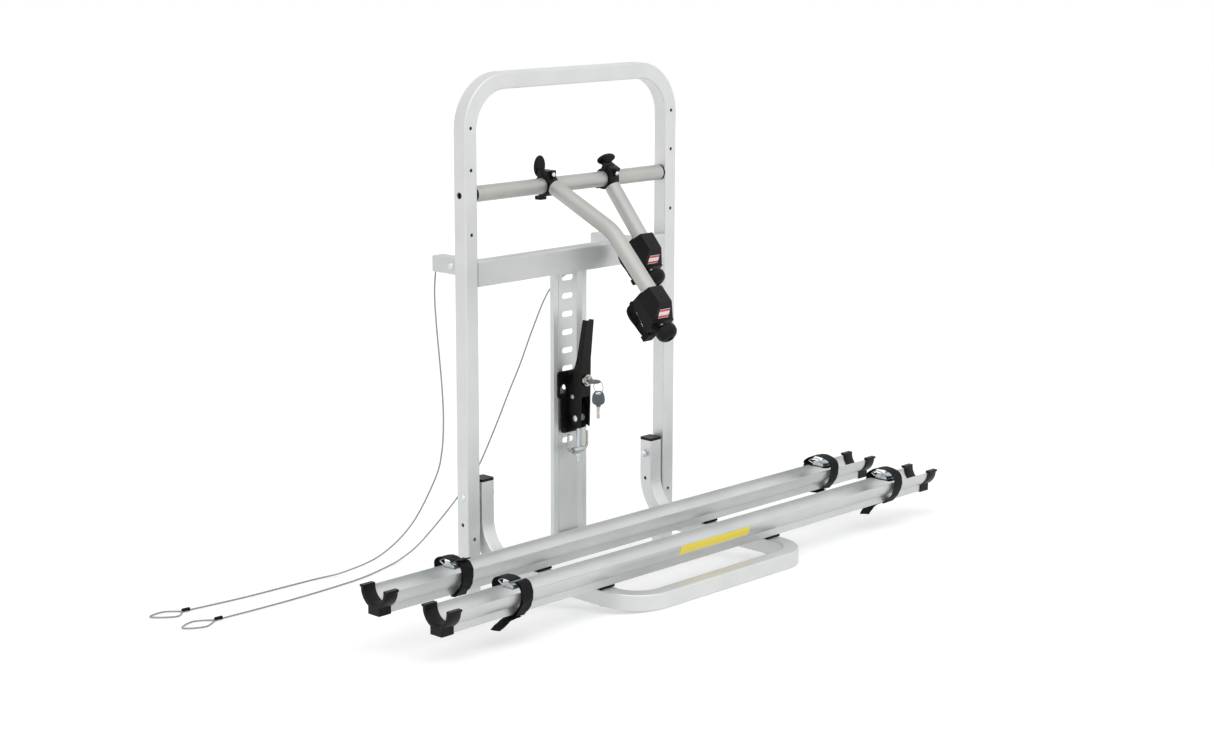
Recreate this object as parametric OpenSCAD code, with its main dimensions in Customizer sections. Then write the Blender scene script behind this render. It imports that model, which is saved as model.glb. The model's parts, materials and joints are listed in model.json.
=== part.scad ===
// Bike rack for a vehicle's spare wheel: a bent square-tube frame with two
// bike arms, a tension lever on a slotted channel, and a hinged platform that
// carries two wheel rails. X runs along the rails, Y points to the vehicle,
// Z is up. The origin lies on the ground, midway between the legs' front faces.

/* [Frame] */
// Outside width of the frame
frame_w = 550; // [530:5:600]
// Height of the frame
frame_h = 960; // [940:5:1000]
// Side of the square tube
tube = 30; // [28:0.5:32]
// Wall of the square tube
tube_wall = 2; // [1.5:0.25:2.5]
// Rounding of the square tube's edges
tube_edge_r = 3; // [2.6:0.2:4]
// Bend radius of the frame's top corners, to the tube's middle
corner_r = 85; // [70:5:100]
// Radius of the holes in the front of the legs
front_hole_r = 3.25; // [2:0.25:4]

/* [Crossbars] */
// Height of the round bar's axis below the frame's top
bar_drop = 212.5; // [205:2.5:220]
// Radius of the round bar
bar_r = 14.5; // [14:0.25:14.75]
// Wall of the round bar
bar_wall = 2; // [1.5:0.25:3]
// Thickness of the black plugs at the bar's ends
bar_plug_t = 4; // [3:0.5:6]
// Height of the upper crossbeam's middle below the frame's top
beam_drop = 353; // [348:1:358]
// Height of the upper crossbeam's section
beam_h = 48; // [44:1:52]
// Depth of the crossbeams' section
beam_depth = 13.6; // [12.6:0.2:14.4]
// Wall of the crossbeams
beam_wall = 2; // [1.5:0.25:2.5]
// Rounding of the crossbeams' front edge
beam_edge_r = 7; // [5:0.5:8]
// Distance of the rear arms from the middle
rear_arm_x = 207; // [195:1:212]
// How far the rear arms reach behind the legs' front
rear_arm_end = 148; // [140:2:170]

/* [Channel] */
// Width of the slotted channel
channel_w = 86.6; // [84:0.2:90]
// Wall of the channel
channel_wall = 2.8; // [2.4:0.1:3]
// Width of the channel's web
web_w = 47; // [45:0.5:48]
// Depth of the web behind the flanges
web_recess = 6.3; // [5.5:0.1:6.8]
// Width of each front flange
flange_w = 11.3; // [11:0.1:11.8]
// Length of a slot
slot_l = 30; // [26:1:34]
// Height of a slot
slot_h = 11; // [9.5:0.25:12]
// Distance from slot to slot
slot_pitch = 34.4; // [33:0.2:36]
// Number of slots
slot_count = 10; // [9:1:10]

/* [Platform] */
// Height of the platform tube's underside
platform_z = 56; // [50:1:60]
// How far the platform reaches in front of the legs
platform_reach = 390; // [375:5:420]
// Gap between leg and platform at the pivot
pivot_gap = 5; // [4:0.5:7]
// Height of the pivot
pivot_z = 198; // [190:1:204]
// Height of the platform's upright ends
upright_top = 224; // [218:1:228]
// Bend radius under the uprights, to the tube's middle
heel_r = 81; // [76:1:84]
// Bend radius of the front corners, to the tube's middle
front_r = 62; // [52:2:70]

/* [Rails] */
// Length of a rail
rail_len = 1320; // [1280:10:1400]
// Shift of the rails towards the right
rail_shift = 50; // [40:5:60]
// Distance of the front rail in front of the legs
rail_front_y = 288.3; // [285:1:295]
// Distance of the rear rail in front of the legs
rail_rear_y = 132.8; // [130:0.5:136]
// Outer radius of the gutter
rail_r = 30; // [29:0.5:31]
// Wall of the rail
rail_wall = 2.4; // [2:0.1:2.6]
// Width of the rail's foot
foot_w = 24; // [23:0.5:26]
// Depth of the foot's underside below the gutter's lips
foot_drop = 41; // [40:0.5:43]
// Thickness of the pads between rails and platform
pad_t = 4; // [3:0.5:6]

/* [Straps] */
// Width of the wheel straps
strap_w = 25; // [22:1:28]
// Distance of the left straps from the rails' left ends
strap_left = 175; // [160:5:200]
// Distance of the right straps from the rails' right ends
strap_right = 133; // [125:1:145]

/* [Bike arms] */
// Distance of the bent arm left of the middle
bent_arm_x = 59; // [50:1:80]
// Distance of the straight arm right of the middle
straight_arm_x = 100; // [90:1:120]
// Slope of the bent arm's first run below level
bent_slope = 24.4; // [22:0.2:28]
// Slope of the bent arm's second run below level
bent_end_slope = 46.6; // [44:0.2:50]
// Length from the bar to the bent arm's bend
bent_run = 179.6; // [175:0.2:185]
// Length from the bend to the claw
bent_end_run = 137.8; // [130:0.2:145]
// Bend radius of the bent arm
bent_r = 90; // [80:5:100]
// Slope of the straight arm below level
straight_slope = 50; // [46:1:54]
// Length from the bar to the straight arm's claw
straight_run = 140; // [135:1:150]
// Radius of the arms' tube
arm_r = 14.5; // [14.25:0.25:14.75]
// Wall of the arms' tube
arm_wall = 2; // [1.75:0.25:2.25]
// Half width of a claw's housing
claw_half_w = 26; // [25:0.5:28]
// Length of a claw's housing along the arm
claw_len = 57; // [56:0.5:60]
// Radius of a claw's locking knob
claw_knob_r = 20; // [18:0.5:21]

/* [Tension lever] */
// Width of the lever at its pivot
lever_w = 27; // [26.5:0.1:28]
// Thickness of the lever's sheet
lever_t = 2.5; // [2:0.1:2.7]
// Depth of the lever's pivot below the frame's top
lever_drop = 652; // [650:0.5:654]
// Length of the lever above its pivot
lever_tall = 189; // [177:1:202]
// Radius of the pull rod
rod_r = 3; // [2.5:0.1:3.2]

/* [Hidden] */
$fn = 48;

// Overrun of every cut, running clearance at pins, and clearance at fixed fits
cut = 1;
run_gap = 0.05;
fit_gap = 0.1;

// Places of the frame
tube_inner_r = 1;
leg_x = (frame_w - tube) / 2;
leg_in = frame_w / 2 - tube;
leg_y = tube / 2;
bar_z = frame_h - bar_drop;
beam_z = frame_h - beam_drop;
front_hole_shares = [0.126, 0.706, 0.825, 0.902];
plug_t = 3;
plug_depth = 14;
access_hole_r = 6;
screw_r = 3;
screw_l = 24;
screw_head_r = 5;
screw_head_h = 3.5;
bar_plug_depth = 14;

// Places of the crossbeams, the rear arms and the channel
bend_z = platform_z + tube / 2 + heel_r;
bend_y = leg_y - heel_r;
heel_out = heel_r + tube / 2;
heel_gap = 0.4;
low_beam_h = 39.6;
low_beam_top = bend_z - sqrt(heel_out * heel_out - bend_y * bend_y) - heel_gap;
low_beam_z = low_beam_top - low_beam_h / 2;
channel_lap_top = 6;
channel_lap_low = 8;
channel_top = beam_z + beam_h / 2 - channel_lap_top;
channel_low = low_beam_z - low_beam_h / 2 + channel_lap_low;
channel_depth = 9.4;
slot_top_share = 1.164;
slot_top = beam_z - beam_h / 2 - slot_top_share * slot_h;
rivet_r = 2;
rivet_head_r = 3.2;
rivet_head_h = 1.6;
rivet_in_share = 0.566;
rivet_x = channel_w / 2 - rivet_in_share * flange_w;
rivet_rise = 12;
m8_r = 4;
m8_head_r = 7;
m8_head_h = 4.5;
m8_nut_r = 7.5;
m8_nut_h = 6.5;
m6_r = 3;
m6_head_r = 5.5;
m6_head_h = 3.2;
m6_nut_r = 5.77;
m6_nut_h = 5;
arm_bolt_y = 98;

// Places of the platform and the rails
platform_half = leg_in - pivot_gap;
platform_x = platform_half - tube / 2;
platform_mid = platform_z + tube / 2;
front_y = -platform_reach + tube / 2;
cap_t = 5;
lock_drop = 50;
lock_hole_r = 3.5;
spacer_r = 8;
rail_z = platform_z + tube + pad_t + foot_drop;
rail_x0 = rail_shift - rail_len / 2;
rail_y = [-rail_front_y, -rail_rear_y];
foot_h = 16;
foot_slot_w = 7;
pad_l = 36;
pad_w = 26;
cap_wall = 2;
cap_l = 24;
cap_end = 3;
cap_lip = 4;
cap_lip_out = 3;

// Straps: strap outline as shares of the gutter's radius, going round from below
strap_t = 1.5;
strap_offsets = [-7, 2, 3, -2];
strap_shares = [[0, -1.465], [0.5, -1.465], [0.66, -1.33], [1.08, -0.72], [1.2, -0.25], [1.21, 0.2],
    [1.1, 0.56], [0.85, 0.84], [0.5, 1.02], [0, 1.08]];
strand_rise = 2.4;
buckle_rise = 0.3;
buckle_w = 27;
buckle_l = 26;
buckle_t = 1.5;
buckle_h = 14;
buckle_shift = 4;
buckle_pin_r = 2;
cam_r = 3.6;
cam_lever_l = 22;

// Bike arms
arm_x = [-bent_arm_x, straight_arm_x];
arm_slope = [bent_slope, straight_slope];
arm_rise = [7, 1];
sleeve_wall = 1.5;
sleeve_l = 26;
clamp_wall = 3.6;
clamp_w = 24;
clamp_in = bar_r + run_gap + sleeve_wall + run_gap;
clamp_out = clamp_in + clamp_wall;
lug_tilt = 24.4;
lug_w = 22;
lug_half = 13;
lug_top = 28;
lug_bolt = 21;
lug_slot = 2;
tail_w = 16;
tail_y = 9;
tail_l = 14;
tail_z = 27;
tail_h = 7;
tail_hole_r = 2;
socket_l = 24;
wing_neck_r = 5.4;
wing_y = 20.2;
wing_t = 6;
wing_w = 26;
wing_h = 40;
wing_off = 13;
wing_r = 12;
claw_shares = [[-0.07, -0.3], [-0.061, 0.285], [0.561, 0.305], [0.93, -0.184], [1, -0.579],
    [0.895, -0.632], [0.047, -0.496]];
claw_front_shares = [[0.54, 0.4], [1, -0.18], [1, -0.7]];
claw_pin = [-0.12 * claw_len, -0.74 * claw_len];
claw_pin_r = 2.5;
claw_lug_w = 12;
claw_lug_half = 6.5;
claw_lug_root = [3.5, 7.5];
claw_ear_t = 4.5;
claw_ear_gap = 0.5;
claw_band = 1.16 * claw_len;
claw_band_t = 4;
claw_foot = [0.83 * claw_len, 1.02 * claw_len];
claw_foot_top = 0.66 * claw_len;
claw_axis = -0.33 * claw_len;
claw_stud_r = 4;
claw_stud_in = 0.62 * claw_len;
claw_knob_from = 1.06 * claw_len;
claw_knob_l = 27;
claw_neck_r = 11;
claw_core_r = 6;
claw_core_lip = 1;
tube_in_claw = 16;

// Tension lever, measured from the legs' front face and from its pivot
base_t = 3;
base_y = beam_depth - base_t;
base_w = 50;
base_low = -31;
base_mid = 37;
base_top = 88;
ear_w = 70;
ear_r = 6;
ear_hole_r = 8.5;
ear_hole_x = 21.5;
ear_hole_rise = 52;
ear_hole_l = 5;
base_wall_x = 7;
base_wall_t = 3;
base_wall_shares = [[-0.222, -0.667], [-0.296, 0.37], [0.111, 1.259], [0.556, 1.407]];
base_neck_y = 17;
base_foot = 1;
base_head_r = 6.5;
pad_half = 19;
lever_y = -12;
lever_z = frame_h - lever_drop;
lever_top = lever_z + lever_tall;
// Side outline in Y and Z from the pivot, as shares of the height above it, and
// half front outline in X and Z, as shares of the width and of that height
lever_side_shares = [[-0.069, -0.085], [0.042, -0.063], [0.074, 0.116], [0.074, 0.307], [-0.02, 0.62],
    [-0.085, 1], [-0.143, 1], [-0.09, 0.603]];
lever_front_shares = [[0.5, -0.2], [0.5, 0.17], [0.444, 0.603], [0.352, 1]];
notch_share = 0.222;
lever_rivet_r = 4;
lever_rivet_head = 6;
lever_rivet_h = 1.5;
lever_side_gap = 0.1;
rod_y = -6;
rod_pin_rise = 41;
rod_pin_r = 3;
rod_pin_lip = 1;
rod_eye_r = 6;
rod_low = -84;
rod_nut_low = -75;
barrel_drop = 63;
barrel_z = lever_z - barrel_drop;
barrel_r = 6;
barrel_half = 13;
wire_r = 2.5;
wire_half = 25;
wire_bend = 8;
wire_top = 33;
wire_in = 4;
lock_rise = 74;
lock_z = lever_z + lock_rise;
lock_r = 9;
lock_flange_r = 11;
lock_flange_t = 4.5;
lock_front = -37;
lock_back = -16;
lock_face = -28.4;
plug_r = 6;
blade_w = 7;
blade_t = 2;
bow_gap = 1;
core_back = 3;
slit_back = 6;
blade_back = 7;
bow_t = 4;
bow_w = 24;
bow_l = 22;
bow_r = 8;
bow_hole_r = 3.8;
bow_hole_y = 7.4;
ring_r = 12;
ring_wire_r = 0.8;
ring_drop = 8.3;
spare_head_w = 24;
spare_head_h = 28;
spare_blade_w = 7;
spare_blade_l = 26;
spare_t = 2.5;
spare_hole_r = 3;
spare_top = 5;
spare_turn = 44;

// Cables: chosen points of each route, from the anchor to the crimped sleeve
cable_r = 1.5;
cable_steps = 3;
cable_sides = 8;
sleeve_r = 3.5;
sleeve_len = 16;
eye_off = 1.7;
anchor_ring_r = 7;
anchor_ring_w = 6;
anchor_neck_r = 2.6;
anchor_end = 114;
left_route = [[-207, 114, 607], [-207, 126, 604], [-207.5, 139, 599], [-208.5, 149, 597],
    [-210, 153, 589], [-214, 152, 550], [-212, 151, 497], [-206, 150, 429], [-200, 150, 365],
    [-198, 150, 307], [-203, 150, 249], [-216, 155, 199], [-245, 190, 110], [-275, 245, 45],
    [-317, 300, 10], [-365, 322, 2], [-424, 324, 2], [-535, 326, 2], [-650, 336, 2]];
right_route = [[207, 114, 607], [207, 126, 604], [206, 139, 599], [204, 149, 597],
    [202, 153, 588], [190, 156, 576], [150, 160, 552], [95, 165, 518], [58, 172, 449],
    [32, 182, 379], [9, 192, 322], [-12, 203, 264], [-39, 222, 187], [-60, 234, 150],
    [-80, 246, 118], [-111, 270, 69], [-145, 290, 27], [-180, 296, 8], [-213, 292, 2],
    [-295, 268, 2], [-364, 259, 2], [-463, 253, 2], [-552, 252, 2], [-639, 254, 2]];

// Square with rounded corners, centred
module soft_rect(w, h, r) {
    square([w, h - 2 * r], center = true);
    square([w - 2 * r, h], center = true);
    for (x = [-1, 1], y = [-1, 1])
        translate([x * (w / 2 - r), y * (h / 2 - r)]) circle(r);
}

// Section of the square tube
module tube_section(side = tube, wall = tube_wall) {
    difference() {
        soft_rect(side, side, tube_edge_r);
        soft_rect(side - 2 * wall, side - 2 * wall, tube_inner_r);
    }
}

// Quarter bend of the square tube, from +X towards +Y
module tube_bend(r) {
    rotate_extrude(angle = 90, $fn = 96) translate([r, 0]) tube_section();
}

// Cylinder along X, starting at x
module x_rod(x, r, l) {
    translate([x, 0, 0]) rotate([0, 90, 0]) cylinder(r = r, h = l);
}

// Cylinder along Y, starting at y
module y_rod(y, r, l) {
    translate([0, y, 0]) rotate([-90, 0, 0]) cylinder(r = r, h = l);
}

// Low dome that stands on the XY plane
module dome(r, h) {
    ball_r = (r * r + h * h) / (2 * h);
    intersection() {
        cylinder(r = r, h = h);
        translate([0, 0, h - ball_r]) sphere(ball_r);
    }
}

// Outline in Y and Z, pulled out along X
module along_x(l) {
    translate([-l / 2, 0, 0]) rotate([90, 0, 90]) linear_extrude(l) children();
}

// The same piece left and right
module both_sides() {
    children();
    mirror([1, 0, 0]) children();
}

// Hexagon nut with a free bore
module nut(r, h, bore) {
    difference() {
        cylinder(r = r, h = h, $fn = 6);
        translate([0, 0, -cut]) cylinder(r = bore + run_gap, h = h + 2 * cut);
    }
}

module main_frame() {
    run = frame_h - tube / 2 - corner_r;
    top_half = leg_x - corner_r;
    color("gainsboro")
    difference() {
        union() {
            both_sides() {
                translate([leg_x, leg_y, plug_t]) linear_extrude(run - plug_t) tube_section();
                translate([top_half, leg_y, run]) rotate([90, 0, 0]) tube_bend(corner_r);
            }
            translate([-top_half, leg_y, run + corner_r]) rotate([0, 90, 0])
                linear_extrude(2 * top_half) tube_section();
        }
        both_sides() {
            for (share = front_hole_shares)
                translate([leg_x, 0, share * frame_h])
                    y_rod(-cut, front_hole_r, tube_wall + 2 * cut);
            translate([0, leg_y, pivot_z])
                x_rod(leg_in - cut, m8_r + run_gap, tube + 2 * cut);
            translate([0, leg_y, pivot_z - lock_drop])
                x_rod(leg_in - cut, lock_hole_r, tube + 2 * cut);
            translate([0, leg_y, bar_z]) {
                x_rod(leg_in - cut, screw_r + run_gap, tube_wall + 2 * cut);
                x_rod(leg_in + tube / 2, access_hole_r, tube);
            }
        }
    }
}

module leg_plugs() {
    inner = tube - 2 * tube_wall - 2 * fit_gap;
    color("dimgray")
    both_sides()
        translate([leg_x, leg_y, 0]) {
            linear_extrude(plug_t) soft_rect(tube, tube, tube_edge_r);
            linear_extrude(plug_depth) soft_rect(inner, inner, tube_inner_r);
        }
}

module cross_tube() {
    half = leg_in - bar_plug_t;
    color("silver")
    translate([0, leg_y, bar_z])
        difference() {
            x_rod(-half, bar_r, 2 * half);
            x_rod(-half - cut, bar_r - bar_wall, 2 * (half + cut));
        }
}

module cross_tube_plugs() {
    plug_in = bar_r - bar_wall - fit_gap;
    head_x = leg_in + tube_wall;
    color("dimgray")
    both_sides()
        translate([0, leg_y, bar_z]) {
            difference() {
                union() {
                    x_rod(leg_in - bar_plug_t, bar_r, bar_plug_t);
                    x_rod(leg_in - bar_plug_t - bar_plug_depth, plug_in, bar_plug_depth);
                }
                x_rod(leg_in - screw_l - cut, screw_r + run_gap, screw_l + 2 * cut);
            }
            x_rod(head_x - screw_l, screw_r, screw_l);
            x_rod(head_x, screw_head_r, screw_head_h);
        }
}

// Section of a crossbeam in Y and Z, with a soft front top edge
module beam_section(h, inset) {
    depth = beam_depth - 2 * inset;
    height = h - 2 * inset;
    r = beam_edge_r - inset;
    translate([inset, inset - h / 2]) {
        square([depth, height - r]);
        translate([r, 0]) square([depth - r, height]);
        translate([r, height - r])
            intersection() {
                circle(r);
                translate([-r, 0]) square(r);
            }
    }
}

module crossbeam(h, z) {
    color("gainsboro")
    translate([0, 0, z])
        difference() {
            along_x(2 * leg_in)
                difference() {
                    beam_section(h, 0);
                    beam_section(h, beam_wall);
                }
            for (s = [-1, 1], k = beam_rivet_rises(h))
                translate([s * rivet_x, 0, k])
                    y_rod(beam_depth - beam_wall - cut, rivet_r + run_gap, beam_wall + 2 * cut);
        }
}

// Heights of the rivets, from a crossbeam's middle
function beam_rivet_rises(h) = h > low_beam_h + channel_lap_top ? [-rivet_rise, rivet_rise]
    : [0, rivet_rise];

module rear_arms() {
    color("gainsboro")
    both_sides()
        translate([rear_arm_x, 0, beam_z])
            difference() {
                translate([0, beam_depth, 0]) rotate([-90, 0, 0])
                    linear_extrude(rear_arm_end - beam_depth) tube_section();
                translate([0, arm_bolt_y, 0])
                    x_rod(-tube / 2 - cut, m8_r + run_gap, tube + 2 * cut);
            }
}

module rear_arm_bolts() {
    color("lightgray")
    both_sides()
        translate([rear_arm_x + tube / 2, arm_bolt_y, beam_z]) {
            x_rod(-tube - m8_nut_h, m8_r, tube + m8_nut_h);
            rotate([0, 90, 0]) dome(m8_head_r, m8_head_h);
            translate([-tube - m8_nut_h, 0, 0]) rotate([0, 90, 0]) nut(m8_nut_r, m8_nut_h, m8_r);
        }
}

// Half outline of the channel's section in X and Y, front then back
function channel_front() = [[web_w / 2, beam_depth + web_recess],
    [channel_w / 2 - flange_w, beam_depth], [channel_w / 2, beam_depth],
    [channel_w / 2, beam_depth + channel_depth]];
function channel_back() = [[channel_w / 2 - channel_wall, beam_depth + channel_depth],
    [channel_w / 2 - channel_wall, beam_depth + channel_wall],
    [channel_w / 2 - flange_w + channel_wall / 2, beam_depth + channel_wall],
    [web_w / 2 + channel_wall / 2, beam_depth + web_recess + channel_wall]];

function flip(points) = [for (i = [len(points) - 1:-1:0]) [-points[i][0], points[i][1]]];

module centre_channel() {
    right_half = concat(channel_front(), channel_back());
    web_y = beam_depth + web_recess;
    color("gainsboro")
    difference() {
        translate([0, 0, channel_low]) linear_extrude(channel_top - channel_low)
            polygon(concat(right_half, flip(right_half)));
        for (i = [0:slot_count - 1])
            translate([0, web_y, slot_top - i * slot_pitch]) {
                for (s = [-1, 1])
                    translate([s * (slot_l - slot_h) / 2, 0, 0])
                        y_rod(-cut, slot_h / 2, channel_wall + 2 * cut);
                translate([(slot_h - slot_l) / 2, -cut, -slot_h / 2])
                    cube([slot_l - slot_h, channel_wall + 2 * cut, slot_h]);
            }
        for (s = [-1, 1], z = rivet_heights())
            translate([s * rivet_x, beam_depth, z])
                y_rod(-cut, rivet_r + run_gap, channel_wall + 2 * cut);
    }
}

function rivet_heights() = concat([for (k = beam_rivet_rises(beam_h)) beam_z + k],
    [for (k = beam_rivet_rises(low_beam_h)) low_beam_z + k]);

module channel_rivets() {
    grip = beam_wall + channel_wall;
    color("silver")
    both_sides()
        for (z = rivet_heights())
            translate([rivet_x, beam_depth - beam_wall, z]) {
                y_rod(0, rivet_r, grip);
                y_rod(-rivet_head_h, rivet_head_r, rivet_head_h);
                translate([0, grip, 0]) rotate([-90, 0, 0]) dome(rivet_head_r, rivet_head_h);
            }
}

module pivot_bolts() {
    inside = platform_half - tube;
    color("lightgray")
    both_sides()
        translate([0, leg_y, pivot_z]) {
            x_rod(inside - m8_nut_h, m8_r, frame_w / 2 - inside + m8_nut_h);
            translate([frame_w / 2, 0, 0]) rotate([0, 90, 0]) dome(m8_head_r, m8_head_h);
            translate([inside - fit_gap, 0, 0]) rotate([0, -90, 0]) {
                nut(m8_nut_r, m8_nut_h, m8_r);
                translate([0, 0, m8_nut_h]) dome(m8_nut_r * cos(30), m8_head_h);
            }
            difference() {
                x_rod(platform_half + fit_gap, spacer_r, pivot_gap - 2 * fit_gap);
                x_rod(platform_half - cut, m8_r + run_gap, pivot_gap + 2 * cut);
            }
        }
}

// Platform: upright, heel bend, run and front corner on each side, then the front bar
module platform_tube() {
    corner_y = front_y + front_r;
    corner_x = platform_x - front_r;
    color("gainsboro")
    difference() {
        union() {
            both_sides() {
                translate([platform_x, leg_y, bend_z]) linear_extrude(upright_top - bend_z)
                    tube_section();
                translate([platform_x, bend_y, bend_z]) rotate([0, 90, 0]) tube_bend(heel_r);
                translate([platform_x, bend_y, platform_mid]) rotate([90, 0, 0])
                    linear_extrude(bend_y - corner_y) tube_section();
                translate([corner_x, corner_y, platform_mid]) rotate([0, 0, -90])
                    tube_bend(front_r);
            }
            translate([-corner_x, front_y, platform_mid]) rotate([0, 90, 0])
                linear_extrude(2 * corner_x) tube_section();
        }
        both_sides() {
            translate([0, leg_y, pivot_z])
                x_rod(platform_half - tube - cut, m8_r + run_gap, tube + 2 * cut);
            translate([0, leg_y, pivot_z - lock_drop])
                x_rod(platform_half - tube - cut, lock_hole_r, tube + 2 * cut);
            for (y = rail_y)
                translate([platform_x, y, platform_z - cut])
                    cylinder(r = m6_r + run_gap, h = tube + 2 * cut);
        }
    }
}

module platform_caps() {
    inner = tube - 2 * tube_wall - 2 * fit_gap;
    color("dimgray")
    both_sides()
        translate([platform_x, leg_y, upright_top]) {
            linear_extrude(cap_t) soft_rect(tube, tube, tube_edge_r);
            translate([0, 0, m8_r + pivot_z - upright_top + fit_gap])
                linear_extrude(upright_top - pivot_z - m8_r) soft_rect(inner, inner, tube_inner_r);
        }
}

// Filled section of a rail in Y and Z, grown by g; the origin is between its lips
module rail_solid(g) {
    difference() {
        circle(rail_r + g, $fn = 96);
        translate([-rail_r - g - cut, g]) square([2 * (rail_r + g + cut), rail_r + g + cut]);
    }
    translate([-foot_w / 2 - g, -foot_drop - g]) square([foot_w + 2 * g, foot_h + g]);
}

module rail_section() {
    difference() {
        rail_solid(0);
        circle(rail_r - rail_wall, $fn = 96);
        difference() {
            translate([rail_wall - foot_w / 2, rail_wall - foot_drop])
                square([foot_w - 2 * rail_wall, foot_h]);
            circle(rail_r, $fn = 96);
        }
        translate([-foot_slot_w / 2, -foot_drop - cut]) square([foot_slot_w, rail_wall + 2 * cut]);
    }
}

module rail(y) {
    color("gainsboro")
    translate([rail_shift, y, rail_z]) along_x(rail_len) rail_section();
}

// End cap of a rail: a sleeve round the rail's end, open above, with lips that
// turn outwards and a closed foot
module rail_cap() {
    inner_r = rail_r - rail_wall - cap_wall;
    lip_x = rail_r - rail_wall - cap_wall;
    lip_w = rail_wall + 2 * cap_wall + cap_lip_out;
    rotate([90, 0, 90])
        difference() {
            translate([0, 0, -cap_l]) linear_extrude(cap_l + cap_end)
                difference() {
                    union() {
                        rail_solid(cap_wall);
                        for (s = [0, 1])
                            mirror([s, 0, 0]) translate([lip_x, 0]) square([lip_w, cap_lip]);
                    }
                    circle(inner_r, $fn = 96);
                    translate([-inner_r, 0]) square([2 * inner_r, cap_lip + cut]);
                }
            translate([0, 0, -cap_l - cut]) linear_extrude(cap_l + cut)
                difference() {
                    rail_solid(fit_gap);
                    circle(rail_r - rail_wall - fit_gap, $fn = 96);
                }
        }
}

module rail_caps() {
    color("dimgray")
    for (y = rail_y) {
        translate([rail_x0 + rail_len, y, rail_z]) rail_cap();
        translate([rail_x0, y, rail_z]) mirror([1, 0, 0]) rail_cap();
    }
}

module rail_pads() {
    color("dimgray")
    for (s = [-1, 1], y = rail_y)
        translate([s * platform_x, y, platform_z + tube])
            difference() {
                translate([-pad_l / 2, -pad_w / 2, 0]) cube([pad_l, pad_w, pad_t]);
                translate([0, 0, -cut]) cylinder(r = m6_r + run_gap, h = pad_t + 2 * cut);
            }
}

// Bolts whose heads sit inside the rails' slotted feet
module rail_bolts() {
    seat = rail_z - foot_drop + rail_wall;
    color("lightgray")
    for (s = [-1, 1], y = rail_y)
        translate([s * platform_x, y, 0]) {
            translate([0, 0, platform_z - m6_nut_h]) {
                cylinder(r = m6_r, h = seat - platform_z + m6_nut_h);
                nut(m6_nut_r, m6_nut_h, m6_r);
            }
            translate([0, 0, seat]) dome(m6_head_r, m6_head_h);
        }
}

// Place of strap i: left front, left rear, right front, right rear
strap_x = [for (i = [0:3]) strap_offsets[i] + rail_x0
    + (i < 2 ? strap_left : rail_len - strap_right)];
strap_y = [rail_y[0], rail_y[1], rail_y[0], rail_y[1]];

module at_strap(i) {
    translate([strap_x[i], strap_y[i], rail_z]) children();
}

function strap_half(g) = [for (p = strap_shares) p * (rail_r + g)];

// Band round the rail, with a strand across the lips
module wheel_strap(i) {
    color("dimgray")
    at_strap(i) along_x(strap_w) {
        difference() {
            polygon(concat(strap_half(0), flip(strap_half(0))));
            polygon(concat(strap_half(-strap_t), flip(strap_half(-strap_t))));
        }
        translate([-rail_r - cap_wall - strap_t * 2, strand_rise])
            square([2 * (rail_r + cap_wall + strap_t * 2), strap_t]);
    }
}

// Where a buckle stands on the strand
buckle_z = strand_rise + strap_t + buckle_rise;
pin_z = buckle_z + buckle_t + cam_r + run_gap + fit_gap;

module strap_buckle(i) {
    color("lightgray")
    at_strap(i) translate([0, -buckle_shift, 0])
        difference() {
            union() {
                translate([-buckle_w / 2, -buckle_l / 2, buckle_z])
                    cube([buckle_w, buckle_l, buckle_t]);
                for (s = [0, 1])
                    mirror([s, 0, 0]) translate([buckle_w / 2 - buckle_t, -buckle_l / 2, buckle_z])
                        cube([buckle_t, buckle_l, buckle_h - buckle_t]);
            }
            translate([0, buckle_l / 4, pin_z])
                x_rod(-buckle_w / 2 - cut, buckle_pin_r + run_gap, buckle_w + 2 * cut);
        }
}

module buckle_lever(i) {
    inner = buckle_w - 2 * buckle_t - 2 * fit_gap;
    color("lightgray")
    at_strap(i) translate([0, buckle_l / 4 - buckle_shift, pin_z]) {
        x_rod(-buckle_w / 2, buckle_pin_r, buckle_w);
        x_rod(-inner / 2, cam_r, inner);
        translate([-inner / 2, -cam_lever_l, cam_r - buckle_t])
            cube([inner, cam_lever_l, buckle_t]);
    }
}

// Frame of arm i: at the bar's axis, -Y along the arm's first run
module at_arm(i) {
    translate([arm_x[i], leg_y, bar_z]) rotate([arm_slope[i], 0, 0]) children();
}

// Frame of arm i's claw: +Y runs on along the tube, +Z away from it, upwards
module at_claw(i) {
    at_arm(i)
        if (i == 0)
            translate([0, -bent_run, arm_rise[i]])
                rotate([bent_end_slope - bent_slope, 0, 0])
                    translate([0, -bent_end_run, 0]) mirror([0, 1, 0]) children();
        else
            translate([0, -straight_run, arm_rise[i]]) mirror([0, 1, 0]) children();
}

module slip_sleeve(i) {
    color("dimgray")
    translate([arm_x[i], leg_y, bar_z])
        difference() {
            x_rod(-sleeve_l / 2, clamp_in - run_gap, sleeve_l);
            x_rod(-sleeve_l / 2 - cut, bar_r + run_gap, sleeve_l + 2 * cut);
        }
}

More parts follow.
